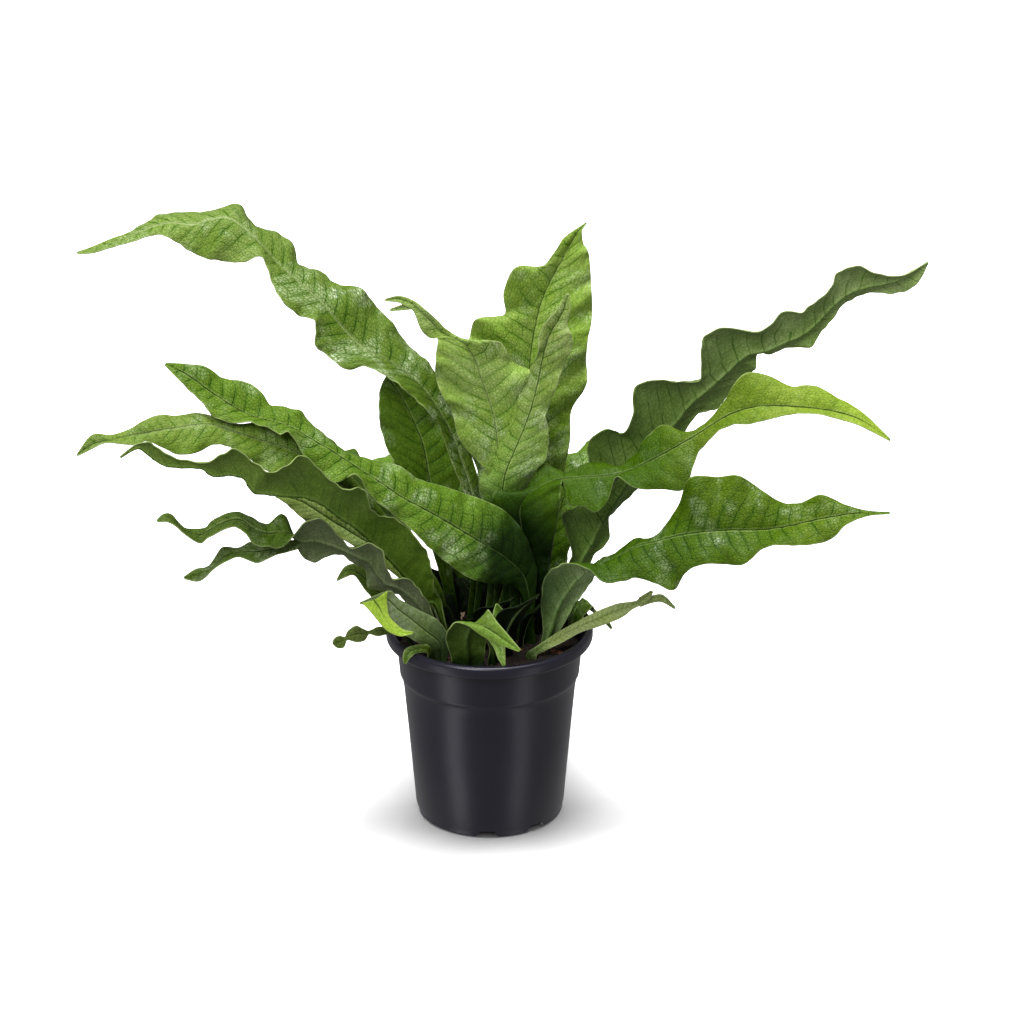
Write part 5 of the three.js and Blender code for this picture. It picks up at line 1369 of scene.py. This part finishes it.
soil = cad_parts["soil"]
soil.data.materials.clear()
soil.data.materials.append(PEAT_FINISH)
crust = bpy.data.objects.new("soil_crust", crust_mesh())
bpy.context.scene.collection.objects.link(crust)
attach(crust, "root")
print("crust faces:", len(crust.data.polygons))


# %% A crumb and a chip
def pushed_about(plan, body, roughness):
    """The body with its points moved by noise: the rougher, the smaller the lumps."""
    push = plan.add("ShaderNodeTexNoise", None, {"Scale": roughness, "Detail": 2.0}, 1)
    centred = plan.add("ShaderNodeVectorMath", {"operation": "SUBTRACT"}, {0: push, 1: (0.5, 0.5, 0.5)})
    return plan.add("GeometryNodeSetPosition", None, {"Geometry": body, "Offset": centred})


def crumb(plan):
    """An uneven little ball with a diameter of 1."""
    ball = plan.add("GeometryNodeMeshIcoSphere", None, {"Radius": 0.5, "Subdivisions": 1})
    return pushed_about(plan, ball, 2.3)


def chip(plan):
    """An uneven block with sides of 1, which its copies flatten to a sliver of bark."""
    block = plan.add("GeometryNodeMeshCube", None, {"Size": (1, 1, 1), "Vertices X": 4, "Vertices Y": 3})
    return pushed_about(plan, block, 1.7)


# %% Crumbs and chips over the crust
FULL_TURN = 6.3               # radians
UPWARDS = 0.3                 # least upward part of a face's normal that holds a crumb
PER_SQUARE_CM = 1e4           # in each square metre


def scatter_plan(name, lump, density, smallest, largest, stretch, tilt, seed, material):
    """Spreads lumps over a surface. Sizes are in mm, and the density is per square cm."""
    plan = Plan(name)
    plan.size("Density", "Float", density * PER_SQUARE_CM)
    plan.size("Smallest", "Float", smallest * MM)
    plan.size("Largest", "Float", largest * MM)
    plan.size("Seed", "Int", seed)
    normal = {0: plan.add("GeometryNodeInputNormal")}
    spread = {"Mesh": plan.given("Geometry"), "Density": plan.given("Density"), "Seed": plan.given("Seed"),
              "Selection": plan.add("ShaderNodeSeparateXYZ", None, normal, 2) > UPWARDS}
    points = plan.add("GeometryNodeDistributePointsOnFaces", {"distribute_method": "RANDOM"}, spread)
    turns = {0: (0, 0, 0), 1: (tilt, tilt, FULL_TURN), "Seed": seed + 1}
    turn = plan.add("FunctionNodeRandomValue", {"data_type": "FLOAT_VECTOR"}, turns)
    sizes = {2: plan.given("Smallest"), 3: plan.given("Largest"), "Seed": seed + 2}
    size = plan.add("FunctionNodeRandomValue", {"data_type": "FLOAT"}, sizes, 1)
    sides = {axis: size * share for axis, share in enumerate(stretch)}
    scale = plan.add("ShaderNodeCombineXYZ", None, sides)
    placed = {"Points": points, "Instance": lump(plan), "Rotation": turn, "Scale": scale}
    lumps = plan.add("GeometryNodeInstanceOnPoints", None, placed)
    own_range = {2: 0.0, 3: 1.0, "Seed": seed + 3}
    own = plan.add("FunctionNodeRandomValue", {"data_type": "FLOAT"}, own_range, 1)
    stored = plan.add(
        "GeometryNodeStoreNamedAttribute", {"data_type": "FLOAT", "domain": "INSTANCE"},
        {"Geometry": lumps, "Name": "own", "Value": own})
    plan.end(stored, material)
    return plan


def scatter(name, lump, material, **sizes):
    piece = grow(name, crust.data.copy(), scatter_plan(name, lump, material=material, **sizes))
    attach(piece, "root")


scatter("peat_crumbs", crumb, PEAT_FINISH, density=16, smallest=0.9, largest=3.4,
        stretch=(1, 0.85, 0.7), tilt=FULL_TURN, seed=4)
scatter("bark_chips", chip, BARK_FINISH, density=0.5, smallest=2.5, largest=8,
        stretch=(1, 0.45, 0.16), tilt=0.5, seed=9)

# %% [markdown]
# ## The heart of the crown
# Between the big fronds a fern keeps short ones, and they close the view into the pot. Their
# near-black colour is painted shade, for the deep shade in the heart of the crown. One short frond
# is made by the same rules as the others. A tree of nodes then sets copies of it on a spiral, turns
# each to face outwards, and varies its size and its turn.

# %% One short frond, and where its copies stand
HEART_COUNT, HEART_FIRST, HEART_LAST = 14, 8, 40     # copies, and mm from their middle
HEART_MIDDLE = 8              # mm behind the pot's axis
HEART_SUNK = 4                # mm below the top of the soil
# Painted shade: the near-black stands for the deep shade in the heart of the crown
HEART_SHADE_COLOUR = (26, 40, 8)
HEART_GAP = 4                 # mm between side veins
GOLDEN_TURN = math.radians(137.5)


def heart_frond():
    """A short frond that grows from the origin and leans towards +X."""
    rungs = grown_rungs(root=(0, 0), turn=0, reach=16, tip=SOIL_TOP + 52, half=9, waves=1.5, phase=1)
    rungs[..., 2] -= soil_height(0, 0) + 2
    gathered = FrondMesh("heart_frond", [FROND_FINISHES[0]])
    colours = dict.fromkeys(("body", "tip", "under"), srgb(*HEART_SHADE_COLOUR))
    blade = Blade(blunt_tip(rungs), np.random.default_rng(7), HEART_GAP)
    gathered.add(blade, HEART_GAP, (0.4, 0, 0.8), shaded=PAINTED_SHADE_LENGTH, **colours)
    return gathered.build()


def spiral_points():
    """Places on the soil, from the middle outwards."""
    number = np.arange(HEART_COUNT)
    radius = HEART_FIRST + (HEART_LAST - HEART_FIRST) * np.sqrt((number + 0.5) / HEART_COUNT)
    x, y = radius * np.cos(number * GOLDEN_TURN), radius * np.sin(number * GOLDEN_TURN)
    y = y + HEART_MIDDLE
    mesh = bpy.data.meshes.new("heart_places")
    mesh.from_pydata(np.column_stack([x, y, soil_height(x, y) - HEART_SUNK]) * MM, [], [])
    return mesh


# %% The copies
def heart_plan(frond, material):
    """Sets copies of the frond on the points, each turned to face outwards."""
    plan = Plan("heart of the crown")
    plan.size("Smallest", "Float", 0.7)
    plan.size("Largest", "Float", 1.15)
    plan.size("Swing", "Float", 0.5)
    plan.size("Seed", "Int", 12)
    spot = {"Vector": plan.add("GeometryNodeInputPosition")}
    x, y = [plan.add("ShaderNodeSeparateXYZ", None, spot, axis) for axis in (0, 1)]
    swings = {2: 0 - plan.given("Swing"), 3: plan.given("Swing"), "Seed": plan.given("Seed")}
    swing = plan.add("FunctionNodeRandomValue", {"data_type": "FLOAT"}, swings, 1)
    turn = plan.add("ShaderNodeCombineXYZ", None, {2: y.math("ARCTAN2", y, x) + swing})
    sizes = {2: plan.given("Smallest"), 3: plan.given("Largest"), "Seed": plan.given("Seed") + 1}
    size = plan.add("FunctionNodeRandomValue", {"data_type": "FLOAT"}, sizes, 1)
    one = plan.add("GeometryNodeObjectInfo", None, {0: frond}, 4)
    placed = {"Points": plan.given("Geometry"), "Instance": one, "Rotation": turn, "Scale": size}
    copies = plan.add("GeometryNodeInstanceOnPoints", None, placed)
    plan.end(copies, material)
    return plan


template = heart_frond()
heart = grow("heart_fronds", spiral_points(), heart_plan(template, FROND_FINISHES[0]))
bpy.data.objects.remove(template)
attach(heart, "root")

# %% [markdown]
# ## A plain studio
# The plant stands on a wide pale floor under an even grey sky. Two sun lamps with wide discs stand
# for big softboxes far away, one overhead and one at the front left. A third lights only the floor,
# which keeps it white and its shadow soft: light linking says which lamp lights what. The floor
# sends no light back, so the shade in the crown stays deep. Two tall glowing cards draw the soft
# upright bands on the pot, and they show only in reflections. The pot's wall tapers and is seen from
# above, so what it mirrors lies below the floor, and the cards stand there.

# %% Floor and sky
FLOOR_RADIUS, FLOOR_SIDES = 60, 64      # m
SKY_STRENGTH = 0.36
CARD_AIM = (0, 0, 0.07)                 # m, the middle of the pot


def floor_finish():
    sheet = Finish("floor")
    haze = sheet.noise(sheet.object_point(), 400, 2)
    paper = sheet.blend(haze, (0.86, 0.86, 0.86), (0.9, 0.9, 0.9))
    return sheet.finish(Base_Color=paper, Roughness=0.9, Specular_IOR_Level=0.1)


floor_mesh = bpy.data.meshes.new("floor")
turns = np.linspace(0, 2 * np.pi, FLOOR_SIDES + 1)[:-1]
ring = [(FLOOR_RADIUS * math.cos(turn), FLOOR_RADIUS * math.sin(turn), 0) for turn in turns]
floor_mesh.from_pydata(ring, [], [list(range(FLOOR_SIDES))])
floor_mesh.materials.append(floor_finish())
floor = bpy.data.objects.new("floor", floor_mesh)
bpy.context.scene.collection.objects.link(floor)
floor.visible_diffuse = floor.visible_glossy = floor.visible_shadow = False

sky = bpy.data.worlds.new("sky")
sky.use_nodes = True
glow = sky.node_tree.nodes["Background"].inputs
glow["Color"].default_value = (1, 1, 1, 1)
glow["Strength"].default_value = SKY_STRENGTH
bpy.context.scene.world = sky
bpy.context.scene.view_settings.view_transform = "Standard"

# %% Lamps
def card(name, spot, width, height, watts):
    """A glowing card that shows only in reflections, so it casts no shadow on the floor."""
    light = bpy.data.lights.new(name, "AREA")
    light.shape = "RECTANGLE"
    light.size, light.size_y, light.energy = width, height, watts
    holder = bpy.data.objects.new(name, light)
    holder.location = spot
    holder.rotation_euler = (Vector(CARD_AIM) - Vector(spot)).to_track_quat("-Z", "Y").to_euler()
    holder.visible_diffuse = False
    bpy.context.scene.collection.objects.link(holder)


def far_softbox(name, direction, strength, angle, for_floor):
    """A sun lamp with a wide disc, as even as a big softbox far away, for the floor or the plant."""
    light = bpy.data.lights.new(name, "SUN")
    light.energy, light.angle = strength, math.radians(angle)
    holder = bpy.data.objects.new(name, light)
    holder.rotation_euler = Vector(direction).to_track_quat("-Z", "Y").to_euler()
    bpy.context.scene.collection.objects.link(holder)
    lit = bpy.data.collections.new(name + "_lights")
    lit.objects.link(floor)
    holder.light_linking.receiver_collection = lit
    lit.collection_objects[0].light_linking.link_state = "INCLUDE" if for_floor else "EXCLUDE"


card("left_card", (-0.79, -0.62, -0.58), 0.36, 1.0, 2)
card("right_card", (0.72, -0.69, -0.58), 0.36, 1.0, 1.2)
far_softbox("high_softbox", (-0.05, 0.1, -1), 3.0, 32, for_floor=False)
far_softbox("front_softbox", (0.4, 0.9, -0.95), 2.3, 26, for_floor=False)
far_softbox("floor_softbox", (0.01, -0.14, -1), 7.8, 42, for_floor=True)
print("lamps:", len(bpy.data.lights))
